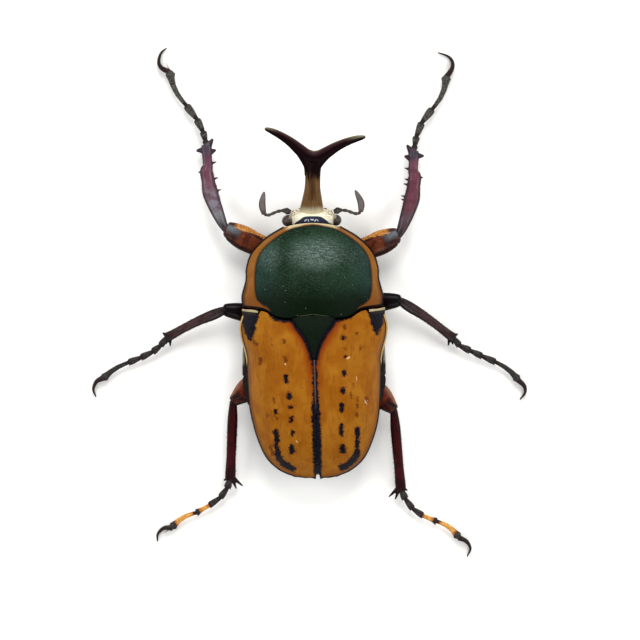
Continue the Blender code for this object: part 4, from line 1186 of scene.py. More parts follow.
def make_head():
    bm = bmesh.new()
    stations = [(0, y, (low + high) / 2, 2 * half, high - low) for y, half, low, high in HEAD_RINGS]
    add_tube(bm, smooth_stations(stations, 26), 48, 3.2)
    for side in (-1, 1):
        add_ball(bm, (side * 2.45 - 0.1, 18.25, 5.7), (0.5, 0.42, 0.45), 0, 20, 14)
        for rows, count in ((BROW, 8), (CHEEK, 4)):
            add_tube(bm, smooth_stations(on_side(side, rows), count), 16)
    melt(bm, 0.08, 5)
    press(bm, head_relief)
    piece = deliver(bm, "head_plate", head_finish(), "cream_shell", "head")
    spots = points_of(piece)
    keep(piece, "occiput", depth_in(smooth_through(OCCIPUT, 60), spots[:, :2]))
    keep(piece, "white_mark", stroke_distance(WHITE_MARKS, spots[:, :2]))
    keep(piece, "corner", [bump(abs(x + 0.1), y, (2.6, 18.3), 0.8) for x, y, _ in spots])
    keep(piece, "side", np.abs(spots[:, 0]))


make_head()

# %% [markdown]
# The eyes are glossy, dark grey brown and set with many small lenses. The feelers have a thick first
# joint, a stalk of small beads and a club of three long leaves that can be spread like a fan.

# %% Finish of eyes and feelers
def eye_finish():
    made, place = new_finish("eye_brown", 0.22, coat=0.25, coat_roughness=0.08, specular=0.2)
    clouds = grain(place, 1.0, 3)
    brown = mixed(clouds, paint(34, 28, 26), paint(70, 60, 54))
    lenses = pits(place, 14, 0.2)
    return end_finish(made, brown, clouds * 0.2 + 0.14, [(lenses, -0.02, 0.5)])


def feeler_finish():
    made, place = new_finish("feeler_grey", 0.5, specular=0.15)
    fine = grain(place, 5, 4)
    stalk = mixed(fine, paint(28, 24, 20), paint(88, 80, 68))
    club = mixed(grain(place, 1.2, 3), paint(70, 62, 60), paint(112, 102, 98))
    club = mixed(between(own_value(place, "leaf_middle"), 0.28, 0.42), club, paint(30, 25, 25))
    colour = mixed(own_value(place, "leaf"), stalk, club)
    return end_finish(made, colour, fine * 0.3 + 0.3, [(fine, 0.03, 0.5)])


# %% The eyes and the feelers
FEELER = {
    "left": ((-3.1, 18.3, 5.0), (-3.5, 18.4, 5.0), (-3.85, 18.5, 5.0), (-4.5, 18.5, 5.0), (-5.2, 18.35, 4.95),
             (-6.0, 18.0, 4.9), (-6.5, 17.9, 4.85), (-6.95, 18.1, 4.8)),
    "right": ((3.0, 18.3, 5.0), (3.4, 18.4, 5.0), (3.75, 18.5, 5.0), (4.3, 18.5, 5.0), (5.0, 18.4, 4.95),
              (5.8, 18.1, 4.9), (6.4, 18.0, 4.85), (6.85, 18.25, 4.8)),
}
CLUB = {
    "left": ((-6.95, 18.0), (-7.2, 19.5), (-6.9, 21.25)),
    "right": ((6.9, 18.2), (6.9, 19.6), (6.1, 21.35)),
}
EYE = {
    "left": ((-3.45, 17.08, 4.65), (0.98, 0.87, 1.05)),
    "right": ((3.32, 17.1, 4.65), (0.8, 0.82, 1.0)),
}
STALK_POINTS = 60
LEAF_POINTS = 24
LEAF_GAP = 0.34


def make_eye(side, word, finish):
    bm = bmesh.new()
    add_ball(bm, *EYE[word], -side * 8, 48, 32)
    deliver(bm, "compound_eye_" + word, finish, "eye", "eye_" + word)


def bead_widths(at):
    """The stalk's beads: a width for each share of the way along it."""
    first = 0.62 + 0.35 * bump(at, 0, (0.2, 0), 0.12)
    beads = 0.34 + 0.16 * abs(math.sin(at * 7 * math.pi))
    return first + (beads - first) * blend(0.3, 0.42, at)


def make_feeler(word, finish):
    bm = bmesh.new()
    path = smooth_through(FEELER[word], STALK_POINTS)
    widths = [bead_widths(at) for at in np.linspace(0, 1, STALK_POINTS)]
    add_tube(bm, [(*point, width, width * 0.95) for point, width in zip(path, widths)], 14)
    leaf_path = smooth_through(CLUB[word], LEAF_POINTS)
    for leaf in (-1, 0, 1):
        stations = []
        for i, (x, y) in enumerate(leaf_path):
            span = math.sin(math.pi * min(0.12 + 0.86 * i / (LEAF_POINTS - 1), 1)) ** 0.55
            stations.append((x, y, 4.75 + LEAF_GAP * leaf, 0.98 * span, 0.1 + 0.2 * span))
        add_tube(bm, stations, 18)
    piece = deliver(bm, "feeler_" + word, finish, "feeler", "antenna_" + word)
    spots = points_of(piece)
    keep(piece, "leaf", [blend(18.35, 18.75, y) for y in spots[:, 1]])
    keep(piece, "leaf_middle", distance_to(leaf_path, spots[:, :2]))


eye_brown, feeler_grey = eye_finish(), feeler_finish()
for side, word in SIDES:
    make_eye(side, word, eye_brown)
    make_feeler(word, feeler_grey)

# %% [markdown]
# Each leg is a thigh, a shin and a foot of five small joints with two claws. The pose of each leg is
# its own, read off the specimen: hip, knee and ankle, the ends of the foot's joints and the bends of
# the claw. In a real beetle each part is tucked into the one before it, so the skins overlap a little.

# %% Shapes of the legs
# A row of a shin: share of its length, lean of its middle line to the outer side, width.
LEG_SHAPE = {
    "front": {
        "femur_widths": (2.3, 3.2, 3.35, 3.5, 2.75),
        "femur_leans": (0, 0, 0, 0.05, 0.1),
        "femur_height": 2.3,
        "shin": (
            (0, 0.1, 0.95), (0.1, 0.4, 1.45), (0.24, 0.7, 1.9), (0.36, 0.9, 2.15),
            (0.47, 1.0, 2.3), (0.6, 0.9, 1.95), (0.71, 0.8, 1.9), (0.77, 0.42, 1.45),
            (0.86, 0.25, 1.4), (0.94, 0.1, 1.5), (1, -0.05, 1.35),
        ),
        "tibia_height": 1.25,
        "tarsus_widths": (0.8, 0.95, 1.0, 1.05, 1.35),
        "last_joint_bow": 0.5,
    },
    "middle": {
        "femur_widths": (1.9, 2.6, 2.8, 2.6, 2.0),
        "femur_leans": (0, 0.2, 0.3, 0.25, 0.1),
        "femur_height": 2.0,
        "shin": (
            (0, 0, 1.1), (0.1, 0, 1.45), (0.22, 0.05, 1.55), (0.4, 0.13, 1.38),
            (0.6, 0.1, 1.27), (0.8, 0, 1.25), (0.92, -0.08, 1.35), (1, -0.05, 1.4),
        ),
        "tibia_height": 1.15,
        "tarsus_widths": (0.9, 0.95, 0.9, 0.9, 1.15),
        "last_joint_bow": 0.3,
    },
    "hind": {
        "femur_widths": (2.4, 3.5, 3.8, 3.3, 2.0),
        "femur_leans": (0, 0.3, 0.35, 0.35, 0.1),
        "femur_height": 2.1,
        "shin": (
            (0, 0, 1.0), (0.1, 0, 1.25), (0.24, 0, 1.47), (0.5, 0, 1.42),
            (0.72, 0, 1.37), (0.9, 0, 1.52), (1, 0, 1.5),
        ),
        "tibia_height": 1.2,
        "tarsus_widths": (1.0, 0.9, 0.85, 1.0, 1.15),
        "last_joint_bow": 0.4,
    },
}
print("widths are measured for the", ", ".join(LEG_SHAPE), "legs")

# %% Teeth of the shins
# Share of the shin's length, side, reach past the edge, slant towards the foot.
SHIN_TEETH = {
    "front": (
        (0.46, "inner", 0.4, 0.1), (0.6, "inner", 0.45, 0.1), (0.78, "inner", 0.5, 0.1),
        (0.91, "inner", 0.55, 0.15), (0.7, "outer", 0.15, 0.3), (0.95, "outer", 0.6, 0.2),
        (0.98, "inner", 0.4, 0.9),
    ),
    "middle": (
        (0.98, "outer", 0.05, 0.3), (0.94, "inner", 0.6, 0.5), (0.97, "inner", 0.1, 0.7),
    ),
    "hind": (
        (0.98, "outer", 0.1, 0.35), (0.96, "inner", 1.0, 1.3), (0.98, "inner", 0.1, 1.5),
    ),
}
print({leg: len(teeth) for leg, teeth in SHIN_TEETH.items()}, "teeth")

# %% Poses of the legs
LEG_POSE = {
    "front_left": {
        "hip": (-5.0, 12.2, 2.8), "knee": (-12.3, 15.8, 3.5), "ankle": (-15.2, 28.0, 1.7),
        "foot": (
            (-15.25, 28.7, 1.5), (-15.6, 30.0, 1.35), (-16.5, 31.8, 1.15),
            (-18.0, 33.8, 1.0), (-20.3, 38.8, 0.85),
        ),
        "claw": ((-20.4, 38.6), (-21.5, 39.2), (-21.85, 40.1), (-21.5, 41.3), (-20.7, 42.0)),
    },
    "front_right": {
        "hip": (5.0, 12.0, 2.8), "knee": (12.1, 14.7, 3.5), "ankle": (14.6, 26.9, 1.7),
        "foot": (
            (14.7, 27.7, 1.5), (14.95, 29.0, 1.35), (15.75, 31.0, 1.15),
            (17.3, 32.95, 1.0), (19.35, 37.8, 0.85),
        ),
        "claw": ((19.45, 37.6), (20.15, 38.7), (20.2, 39.7), (19.5, 40.5), (18.1, 41.0)),
    },
    "middle_left": {
        "hip": (-4.9, 2.6, 2.0), "knee": (-12.8, 4.4, 3.5), "ankle": (-21.2, 0.6, 1.6),
        "foot": (
            (-21.95, -0.6, 1.4), (-23.1, -1.5, 1.25), (-24.8, -2.3, 1.1),
            (-26.6, -3.0, 1.0), (-30.35, -5.4, 0.85),
        ),
        "claw": ((-30.3, -5.2), (-31.2, -5.7), (-31.65, -6.8), (-31.25, -7.9)),
    },
    "middle_right": {
        "hip": (5.1, 4.3, 2.0), "knee": (12.4, 5.5, 3.5), "ankle": (20.1, 0.15, 1.6),
        "foot": (
            (20.85, -1.0, 1.4), (22.4, -1.75, 1.25), (24.1, -2.55, 1.1),
            (26.0, -3.4, 1.0), (29.3, -6.1, 0.85),
        ),
        "claw": ((29.15, -5.95), (30.1, -6.9), (30.15, -7.9), (29.4, -8.85)),
    },
    "hind_left": {
        "hip": (-5.2, -5.0, 2.1), "knee": (-11.6, -8.7, 3.4), "ankle": (-12.15, -19.9, 1.6),
        "foot": (
            (-12.6, -21.1, 1.4), (-13.6, -22.45, 1.25), (-15.25, -23.6, 1.1),
            (-17.1, -24.6, 1.0), (-20.7, -26.8, 0.85),
        ),
        "claw": ((-20.5, -26.75), (-21.7, -26.75), (-22.6, -27.6), (-22.65, -28.7)),
    },
    "hind_right": {
        "hip": (5.2, -5.5, 2.1), "knee": (11.35, -10.1, 3.4), "ankle": (12.28, -21.6, 1.6),
        "foot": (
            (12.9, -22.9, 1.4), (13.95, -24.3, 1.25), (15.45, -25.35, 1.1),
            (17.4, -26.15, 1.0), (20.55, -28.55, 0.85),
        ),
        "claw": ((20.5, -28.5), (21.6, -29.05), (22.15, -30.1), (21.65, -31.25)),
    },
}
print(len(LEG_POSE), "legs are posed")

# %% Directions and places along a leg
def outer_side(leg, word):
    """The direction across a shin, away from the body's middle or, on a middle leg, to the front."""
    pose = LEG_POSE[leg + "_" + word]
    knee, ankle = Vector(pose["knee"]), Vector(pose["ankle"])
    outer = (ankle - knee).cross(UP).normalized()
    wrong_way = outer.y < 0 if leg == "middle" else outer.x * knee.x < 0
    return -outer if wrong_way else outer


def shin_point(leg, word, t):
    """A point of the shin's middle line, which leans to its outer side as the table says."""
    pose = LEG_POSE[leg + "_" + word]
    shares, leans, _ = zip(*LEG_SHAPE[leg]["shin"])
    lean = float(np.interp(t, shares, leans))
    return Vector(pose["knee"]).lerp(Vector(pose["ankle"]), t) + outer_side(leg, word) * lean


def place_along(piece, line, outer, halves):
    """Keeps how far along a limb each point lies, from 0 to 1, and on which side, from -1 to 1."""
    spots = points_of(piece)
    line = np.array(line)
    lengths = np.linalg.norm(np.diff(line, axis=0), axis=1)
    starts = np.concatenate([[0], np.cumsum(lengths)])
    along, across = np.zeros(len(spots)), np.zeros(len(spots))
    nearest = np.full(len(spots), 1e9)
    for i, length in enumerate(lengths):
        step = line[i + 1] - line[i]
        share = np.clip(((spots - line[i]) @ step) / length**2, 0, 1)
        off = spots - (line[i] + share[:, None] * step)
        gap = np.linalg.norm(off, axis=1)
        closer = gap < nearest
        nearest[closer] = gap[closer]
        along[closer] = (starts[i] + share[closer] * length) / starts[-1]
        half = halves[i] + (halves[i + 1] - halves[i]) * share[closer]
        across[closer] = (off[closer] @ np.array(outer)) / half
    keep(piece, "along", along)
    keep(piece, "across", across)


front_shin = shin_point("front", "left", 1) - shin_point("front", "left", 0)
print("front left shin", round(front_shin.length, 1), "mm")

# %% [markdown]
# The thighs are polished red brown, darker to the body and black at the knee, and the front pair has an
# orange front edge. The shins are grey and mauve, brown black or deep red by pair, with dark rims; the
# grey near the knee of the front left shin is a painted highlight. The colour runs along the limb from
# stop to stop, and a value across it paints the rims. Paler streaks along each limb are painted highlights.
# Fine pits, faint clouds and a thin hard gloss lie over all of them.

# %% Colours of thighs and shins
# For each limb: stops (share of its length, colour), then the tints of its rear rim, front rim, clouds
# and streaks. The streaks are painted highlights; so are the hind thigh's pale front rim and the grey
# near the knee of the front left shin.
LIMB_COLOURS = {
    "thigh_front": (((0.05, (34, 8, 6)), (0.4, (90, 38, 18)), (0.76, (88, 40, 22)), (0.9, (40, 34, 37))),
                    (18, 3, 3), (50, 22, 14), (40, 10, 6), (140, 80, 50)),
    "thigh_middle": (((0.1, (54, 10, 8)), (0.6, (70, 12, 8)), (0.74, (24, 6, 6)), (0.84, (6, 4, 6))),
                     (6, 2, 2), (10, 5, 6), (8, 3, 3), (44, 24, 24)),
    "thigh_hind": (((0.05, (60, 14, 6)), (0.35, (100, 28, 10)), (0.8, (104, 36, 16)), (0.92, (24, 17, 19))),
                   (24, 6, 6), (126, 84, 64), (56, 10, 4), (138, 76, 48)),
    "shin_front_left": (((0.0, (26, 23, 26)), (0.2, (104, 104, 106)), (0.34, (110, 104, 112)),
                         (0.62, (96, 56, 68)), (0.84, (92, 54, 70)), (0.95, (52, 54, 66))),
                        (52, 34, 42), (50, 42, 48), (76, 42, 54), (140, 140, 144)),
    "shin_front_right": (((0.0, (30, 27, 30)), (0.2, (72, 60, 66)), (0.36, (88, 50, 58)),
                          (0.6, (94, 50, 62)), (0.84, (98, 56, 70)), (0.94, (52, 54, 64))),
                         (44, 32, 38), (48, 42, 46), (72, 38, 48), (124, 100, 110)),
    "shin_middle": (((0.0, (24, 20, 22)), (0.12, (48, 37, 37)), (0.5, (60, 40, 40)),
                     (0.85, (52, 34, 34)), (0.98, (24, 18, 20))),
                    (16, 11, 13), (34, 24, 26), (34, 22, 22), (92, 76, 74)),
    "shin_hind": (((0.0, (18, 7, 9)), (0.12, (42, 3, 4)), (0.5, (54, 4, 5)), (0.8, (54, 8, 16)),
                   (0.97, (22, 8, 11))),
                  (20, 4, 6), (20, 4, 6), (30, 5, 7), (88, 24, 32)),
}
LIMB_GLOSS = 0.08
DULLER_GLOSS = {"thigh_middle": 0.04}
print("limbs of", len(LIMB_COLOURS), "colourings")

# %% Finish of thighs and shins
def in_bands(along, stops):
    """A colour that runs along a limb from stop to stop."""
    colour = paint(*stops[0][1])
    for (start, _), (end, tint) in zip(stops, stops[1:]):
        colour = mixed(between(along, start, end), colour, paint(*tint))
    return colour


def ochre_edged(colour, along, across, fine):
    """The front thigh's orange front edge, with a dark line under it and a cool shine at the knee."""
    line = between(across, 0.44, 0.6) * between(along, 0.9, 0.78)
    colour = mixed(line * 0.85, colour, paint(34, 10, 8))
    reach = across + between(along, 0.5, 0.85, 0, 0.22)
    strip = between(reach, 0.66, 0.8) * between(along, 1.0, 0.93)
    ochre = mixed(between(fine, 0.3, 0.7), paint(112, 58, 20), paint(196, 136, 64))
    colour = mixed(strip, colour, ochre)
    shine = between(across, -0.35, 0.3, 0, 0.9) * between(across, 0.75, 0.3)
    shine = shine * between(along, 0.76, 1.0) * between(fine, 0.2, 0.8, 0.4, 0.9)
    return mixed(shine, colour, paint(108, 118, 124))


def limb_finish(name, stops, rear, front, cloud, highlight_streak):
    """A glossy limb: colours along it, a rim on both sides, darker clouds and paler streaks of painted
    highlight.
    """
    gloss = DULLER_GLOSS.get(name, LIMB_GLOSS)
    made, place = new_finish(name, 0.3, coat=gloss, coat_roughness=0.12, specular=0.05)
    fine = grain(place, 4.5, 4)
    clouds = grain(place, 0.9, 4)
    own_along = own_value(place, "along")
    along = own_along + wobble(clouds, 0.14)
    across = own_value(place, "across") + wobble(fine, 0.2)
    drawn = add_node(place.tree, "ShaderNodeCombineXYZ", {"X": across, "Y": own_along})
    streaks = grain(drawn, 2.4, 4, 0.6, stretch=(1.0, 1.6, 1))
    colour = in_bands(along, stops)
    # Painted highlight: pale streaks of light along the limb.
    colour = mixed(between(streaks, 0.5, 0.7, 0, 0.55), colour, paint(*highlight_streak))
    colour = mixed(between(clouds, 0.46, 0.62, 0, 0.6), colour, paint(*cloud))
    colour = mixed(between(fine, 0.42, 0.25, 0, 0.6), colour, paint(*cloud))
    colour = mixed(between(across, -0.45, -0.9, 0, 0.9), colour, paint(*rear))
    # On the hind thighs this pale front rim is a painted highlight stripe.
    colour = mixed(between(across, 0.5, 0.9, 0, 0.9), colour, paint(*front))
    if name == "thigh_front":
        colour = ochre_edged(colour, along, across, fine)
    layers = [(dimples(place, 2.4, 0.25), -0.04, 0.5), (fine, 0.03, 0.4)]
    return end_finish(made, colour, fine * 0.2 + 0.22, layers)


limb_finishes = {name: limb_finish(name, *colours) for name, colours in LIMB_COLOURS.items()}

# %% [markdown]
# The feet are duller than the shins, grey black with a darker knob at each joint and dark claws. Two
# joints of each hind foot are straw yellow. They could be made apart. Here each point remembers how deep
# it lies in such a stretch, so the foot stays one skin and the yellow fades into the knobs.

# %% Finish of the feet
# For each yellow joint, the shares of its length between which it is yellow.
YELLOW_STRETCHES = {3: (-0.05, 0.72), 4: (0.08, 0.78)}


def foot_finish(name, pale):
    """The dark foot, with two straw yellow joints on the hind legs."""
    made, place = new_finish(name, 0.42, coat=0.05, specular=0.1)
    fine = grain(place, 5, 4)
    colour = mixed(between(fine, 0.3, 0.7), paint(18, 15, 16), pale)
    colour = mixed(own_value(place, "knob"), colour, paint(30, 22, 21))
    if name == "foot_hind":
        depth = own_value(place, "yellow") + wobble(fine, 0.3)
        straw = mixed(between(fine, 0.3, 0.7), paint(160, 104, 38), paint(212, 160, 84))
        straw = mixed(between(depth, 0.5, 0.05, 0, 0.8), straw, paint(132, 62, 20))
        colour = mixed(between(depth, -0.2, 0.0), colour, paint(40, 12, 12))
        colour = mixed(between(depth, -0.05, 0.08), colour, straw)
    claw = between(own_value(place, "along"), 0.985, 1.0)
    colour = mixed(claw, colour, mixed(fine, paint(16, 10, 11), paint(48, 32, 30)))
    layers = [(dimples(place, 3.0, 0.25), -0.03, 0.5), (fine, 0.03, 0.4)]
    return end_finish(made, colour, fine * 0.25 + 0.28, layers)


foot_finishes = {
    "front": foot_finish("foot_front", paint(84, 82, 76)),
    "middle": foot_finish("foot_middle", paint(56, 52, 50)),
    "hind": foot_finish("foot_hind", paint(60, 54, 52)),
}

# %% [markdown]
# A thigh is a thick flat tube that bulges in its middle and rounds off at the knee. Its first station
# lies inside the body, so that no gap shows at the hip.

# %% The thighs
HIP_SIZE = (1.5, 1.4)
KNEE_SIZE = (0.3, 0.3)


def make_thigh(leg, word):
    name = leg + "_" + word
    shape, pose = LEG_SHAPE[leg], LEG_POSE[name]
    hip, knee = Vector(pose["hip"]), Vector(pose["knee"])
    ahead = (knee - hip).normalized()
    forward = ahead.cross(UP).normalized()
    forward = forward if forward.y > 0 else -forward
    widths = shape["femur_widths"]
    line, stations = [], [(*(hip - ahead), *HIP_SIZE)]
    for i, (width, lean) in enumerate(zip(widths, shape["femur_leans"])):
        t = i / (len(widths) - 1)
        height = shape["femur_height"] * (0.8 + 0.2 * math.sin(math.pi * t))
        line.append(hip.lerp(knee, t * 0.93) + forward * lean)
        stations.append((*line[-1], width, height))
    stations.append((*(knee + ahead * 0.1), widths[-1] * 0.7, shape["femur_height"] * 0.6))
    stations.append((*(knee + ahead * 0.35), *KNEE_SIZE))
    bm = bmesh.new()
    add_tube(bm, smooth_stations(stations, 44), 32, 2.1)
    piece = deliver(bm, "thigh_" + name, limb_finishes["thigh_" + leg], "thigh", "femur_" + name)
    place_along(piece, line, forward, [width / 2 for width in widths])


print("the widest thigh is", max(LEG_SHAPE["hind"]["femur_widths"]), "mm wide")


# %% [markdown]
# A shin is a flat blade with teeth on its edges. On the front legs the teeth are long and cut like a
# saw, and the right one has two more of them. Teeth set on as cones would show a hard line, so they are
# melted into the blade.

# %% The shins
MORE_TEETH = {"front_right": ((0.66, "inner", 0.4, 0.05), (0.42, "inner", 0.3, 0.1))}
FRONT_TOOTH_WIDTHS = (0.62, 1.3)
TOOTH_WIDTH = 0.75


def make_shin(leg, word):
    name = leg + "_" + word
    shape, pose = LEG_SHAPE[leg], LEG_POSE[name]
    outer = outer_side(leg, word)
    ahead = (Vector(pose["ankle"]) - Vector(pose["knee"])).normalized()
    shares, _, widths = zip(*shape["shin"])
    height = shape["tibia_height"]
    stations = [(*shin_point(leg, word, -0.02), widths[0] * 0.6, height * 0.6)]
    for t, width in zip(shares, widths):
        stations.append((*shin_point(leg, word, t), width, height))
    bm = bmesh.new()
    add_tube(bm, smooth_stations(stations, 48), 24, 2.2)
    for t, edge, reach, slant in (*SHIN_TEETH[leg], *MORE_TEETH.get(name, ())):
        away = outer if edge == "outer" else -outer
        half = float(np.interp(t, shares, widths)) / 2
        point = shin_point(leg, word, t)
        tip = point + away * (half + reach + 0.1) + ahead * (slant + 0.02)
        width = FRONT_TOOTH_WIDTHS[t > 0.9] if leg == "front" else TOOTH_WIDTH
        add_spine(bm, point + away * half * 0.3, tip, width, 0.25)
    melt(bm, 0.07, 2)
    finish = limb_finishes["shin_" + (name if leg == "front" else leg)]
    piece = deliver(bm, "shin_" + name, finish, "shin", "tibia_" + name)
    place_along(piece, [shin_point(leg, word, t) for t in shares], outer, [width / 2 for width in widths])


print("the front right shin has", len(SHIN_TEETH["front"]) + len(MORE_TEETH["front_right"]), "teeth")


# %% [markdown]
# A foot is a string of five joints. Each is thin where it leaves the one before and thick where it takes
# the next, and the last one is long, slender and a little bowed. Five separate beads would show seams, so
# one tube is drawn through all of them and melted together with the claws and the thorns at the joints.

# %% The feet
NECK = 0.5
CLAW_HEIGHT = 0.85
CLAW_LEVELS = (0.3, 1.15)
KNOB_REACH = (0.75, 0.45)
JOINT_SWELLING = ((0.12, 0.3), (0.35, 0.6), (0.6, 0.9), (0.8, 1.0), (0.93, 0.85))
SLENDER_SWELLING = ((0.12, 0.1), (0.35, 0.2), (0.6, 0.3), (0.78, 0.5), (0.9, 1.0))


def claw_stations(points, level):
    """A hooked claw: thick at its root, pointed at its tip."""
    path = smooth_through(points, 16)
    stations = []
    for i, (x, y) in enumerate(path):
        t = i / (len(path) - 1)
        size = 1.0 - 0.78 * t**0.8
        z = CLAW_HEIGHT + (level - CLAW_HEIGHT) * (0.3 + 0.7 * blend(0, 0.4, t))
        stations.append((x, y, max(z, size * 0.42 + 0.01), size * 0.9, size * 0.8))
    return stations


def foot_stations(leg, word):
    """Stations of the five joints of a foot, and for each joint its start, end and knob."""
    shape, pose = LEG_SHAPE[leg], LEG_POSE[leg + "_" + word]
    start = shin_point(leg, word, 0.985)
    outer = outer_side(leg, word)
    stations, joints = [(*start, NECK, NECK)], []
    toes = [Vector(toe) for toe in pose["foot"]]
    for i, (end, knob) in enumerate(zip(toes, shape["tarsus_widths"])):
        last = i == len(toes) - 1
        side = (end - start).cross(UP).normalized()
        side = side if side.dot(outer) > 0 else -side
        bow = shape["last_joint_bow"] if last else 0
        slender = last or (leg == "hind" and i == 3)
        for t, share in SLENDER_SWELLING if slender else JOINT_SWELLING:
            width = NECK + 0.06 + (knob + 0.06 - NECK) * share
            stations.append((*(start.lerp(end, t) + side * bow * math.sin(math.pi * t)), width, width * 0.85))
        stations.append((*end, NECK + 0.08, NECK))
        joints.append((start, end, knob, side))
        start = end
    return stations, joints


def depth_in_stretch(spots, start, end, first, last):
    """How deep each point lies inside a stretch of one joint in millimetres, below 0 outside it."""
    start, step = np.array(start), np.array(end - start)
    length = np.linalg.norm(step)
    share = ((spots - start) @ step) / length**2
    off = np.linalg.norm(spots - start - share[:, None] * step, axis=1)
    return np.where(off < 1.3, np.minimum(share - first, last - share) * length, -1)


def make_foot(leg, word):
    name = leg + "_" + word
    stations, joints = foot_stations(leg, word)
    bm = bmesh.new()
    add_tube(bm, stations, 18)
    for start, end, knob, side in joints[:-1] if leg != "front" else ():
        ahead = (end - start).normalized()
        root = start.lerp(end, 0.85) - side * knob * 0.3
        add_spine(bm, root, end - side * knob * 0.62 + ahead * 0.12 - UP * 0.2, 0.34)
    for level in CLAW_LEVELS:
        add_tube(bm, claw_stations(LEG_POSE[name]["claw"], level), 16)
    melt(bm, 0.07, 2)
    piece = deliver(bm, "foot_" + name, foot_finishes[leg], "foot", "tarsus_" + name)
    line = [joints[0][0], *(end for _, end, _, _ in joints)]
    place_along(piece, line, outer_side(leg, word), [0.6] * len(line))
    spots = points_of(piece)
    ends = np.array([tuple(end) for _, end, _, _ in joints[:4]])
    nearest = np.linalg.norm(spots[:, None] - ends[None], axis=2).min(1)
    keep(piece, "knob", [blend(*KNOB_REACH, gap) for gap in nearest])
    if leg == "hind":
        depths = [depth_in_stretch(spots, *joints[i][:2], *ends) for i, ends in YELLOW_STRETCHES.items()]
        keep(piece, "yellow", np.max(depths, axis=0))


for leg in LEG_SHAPE:
    for word in ("left", "right"):
        make_thigh(leg, word)
        make_shin(leg, word)
        make_foot(leg, word)

# %% [markdown]
# Underneath, the body is a row of hard black plates: the fore breast, the broad breastplate with its
# blunt process between the middle legs, six belly plates that overlap like roof tiles, and the last
# plate that closes the rear. Each section is one ring, drawn out from section to section.

# %% Sections of the trunk
BELLY_HALF_WIDTH = profile(
    (4.6, 8.2), (2.5, 9.3), (0.0, 10.0), (-2.0, 10.2), (-6.0, 10.2), (-8.5, 9.7), (-11.0, 8.8),
    (-14.0, 7.6), (-16.5, 6.2), (-18.0, 4.8),
)
BELLY_KEEL = profile(
    (4.6, 1.3), (3.0, 0.2), (1.5, -0.6), (-3.0, -0.6), (-4.7, 0.15), (-8, 0.15), (-10, 0.2),
    (-14, 0.5), (-17, 1.3), (-18, 1.7),
)


LEDGE_GAP = 0.3
LEDGE_HEIGHT = 0.6
BACK_INSET = 1.3
BACK_GAP = 1.4
LOW_SIDES = 22
TOP_SIDES = 10


def trunk_ring(y, tuck=0.0, roof=True):
    """A section: a keel with a flat, a ledge under each wing case, and the back."""
    half_width = BELLY_HALF_WIDTH(y) - tuck
    ledge = (ELYTRA_EDGE(y) if roof else min(ELYTRA_EDGE(y), SHIELD_EDGE(y) - 0.75)) - LEDGE_GAP
    keel = BELLY_KEEL(y) + tuck
    back_width = min(elytra_half_width(y) - BACK_INSET, half_width)
    back = ELYTRA_CROWN(y) - BACK_GAP if roof else ledge + 0.2
    right = []
    for i in range(1, LOW_SIDES + 1):
        reach = math.sin(i / LOW_SIDES * math.pi / 2)
        z = keel + (ledge - LEDGE_HEIGHT - keel) * reach**1.9
        right.append((half_width * reach, max(z, 0)))
    right.append((half_width, ledge))
    for i in range(TOP_SIDES):
        x = back_width * math.cos((i + 0.01) / TOP_SIDES * math.pi / 2)
        right.append((x, dome(x, back_width, ledge, back)))
    left = [(-x, z) for x, z in reversed(right)]
    return [(x, y, z) for x, z in [(0, max(keel, 0)), *right, (0, back), *left]]


def oval_ring(y, half_width, low, high, sides=40, squareness=2.6):
    """A section that is a squared oval between two heights."""
    ring = []
    for angle in np.arange(sides) * 2 * math.pi / sides:
        cosine, sine = math.cos(angle), math.sin(angle)
        x = math.copysign(abs(cosine) ** (2 / squareness), cosine) * half_width
        z = math.copysign(abs(sine) ** (2 / squareness), sine) * (high - low) / 2
        ring.append((x, y, (low + high) / 2 + z))
    return ring


def add_loft(bm, rings):
    """Draws one ring of points out through the others, and closes both ends."""
    verts = bmesh.ops.create_circle(bm, segments=len(rings[0]), radius=1, cap_ends=True)["verts"]
    edges = list({edge for vert in verts for edge in vert.link_edges})
    for vert, point in zip(verts, rings[0]):
        vert.co = point
    for ring in rings[1:]:
        order = {tuple(vert.co): i for i, vert in enumerate(verts)}
        drawn = bmesh.ops.extrude_edge_only(bm, edges=edges)["geom"]
        edges = [item for item in drawn if isinstance(item, bmesh.types.BMEdge)]
        new = [item for item in drawn if isinstance(item, bmesh.types.BMVert)]
        verts = sorted(new, key=lambda vert: order[tuple(vert.co)])
        for vert, point in zip(verts, ring):
            vert.co = point
    bmesh.ops.contextual_create(bm, geom=edges)


print("one section of the trunk has", len(trunk_ring(0)), "points")

# %% [markdown]
# The black plates are glossy, with coarse and fine pits, a green tinge in places and a pale line along
# the flank. Short straw-coloured hair grows from the breast, the legs and the mouth. Painted hair would
# leave a smooth outline, so each hair is a thin cone of few faces.

# %% Finish of the black plates and the hair
def plate_finish():
    made, place = new_finish("plate_black", 0.3, coat=0.1, coat_roughness=0.15, specular=0.12)
    x, y, _ = parts_of(place)
    fine = grain(place, 4, 4)
    clouds = grain(place, 0.5, 4)
    black = mixed(clouds, paint(14, 12, 13), paint(34, 26, 22))
    black = mixed(between(clouds, 0.55, 0.75, 0, 0.6), black, paint(24, 32, 22))
    flank = between(abs(x), 9.85, 10.0) * between(y + clouds, -3.2, -2.4)
    black = mixed(flank * fine, black, paint(150, 146, 126))
    coarse = between(pits(place, 1.3), 0.3, 0.1)
    layers = [(coarse, -0.06, 0.5), (dimples(place, 3.0, 0.3), -0.03, 0.4), (fine, 0.02, 0.3)]
    return end_finish(made, black, fine * 0.25 + 0.18, layers)


def hair_finish():
    made, place = new_finish("hair_straw", 0.45)
    straw = mixed(grain(place, 2.0, 3), paint(120, 84, 38), paint(196, 160, 96))
    return end_finish(made, straw, None, [(grain(place, 12, 2), 0.01, 0.4)])


plate_black, hair_straw = plate_finish(), hair_finish()

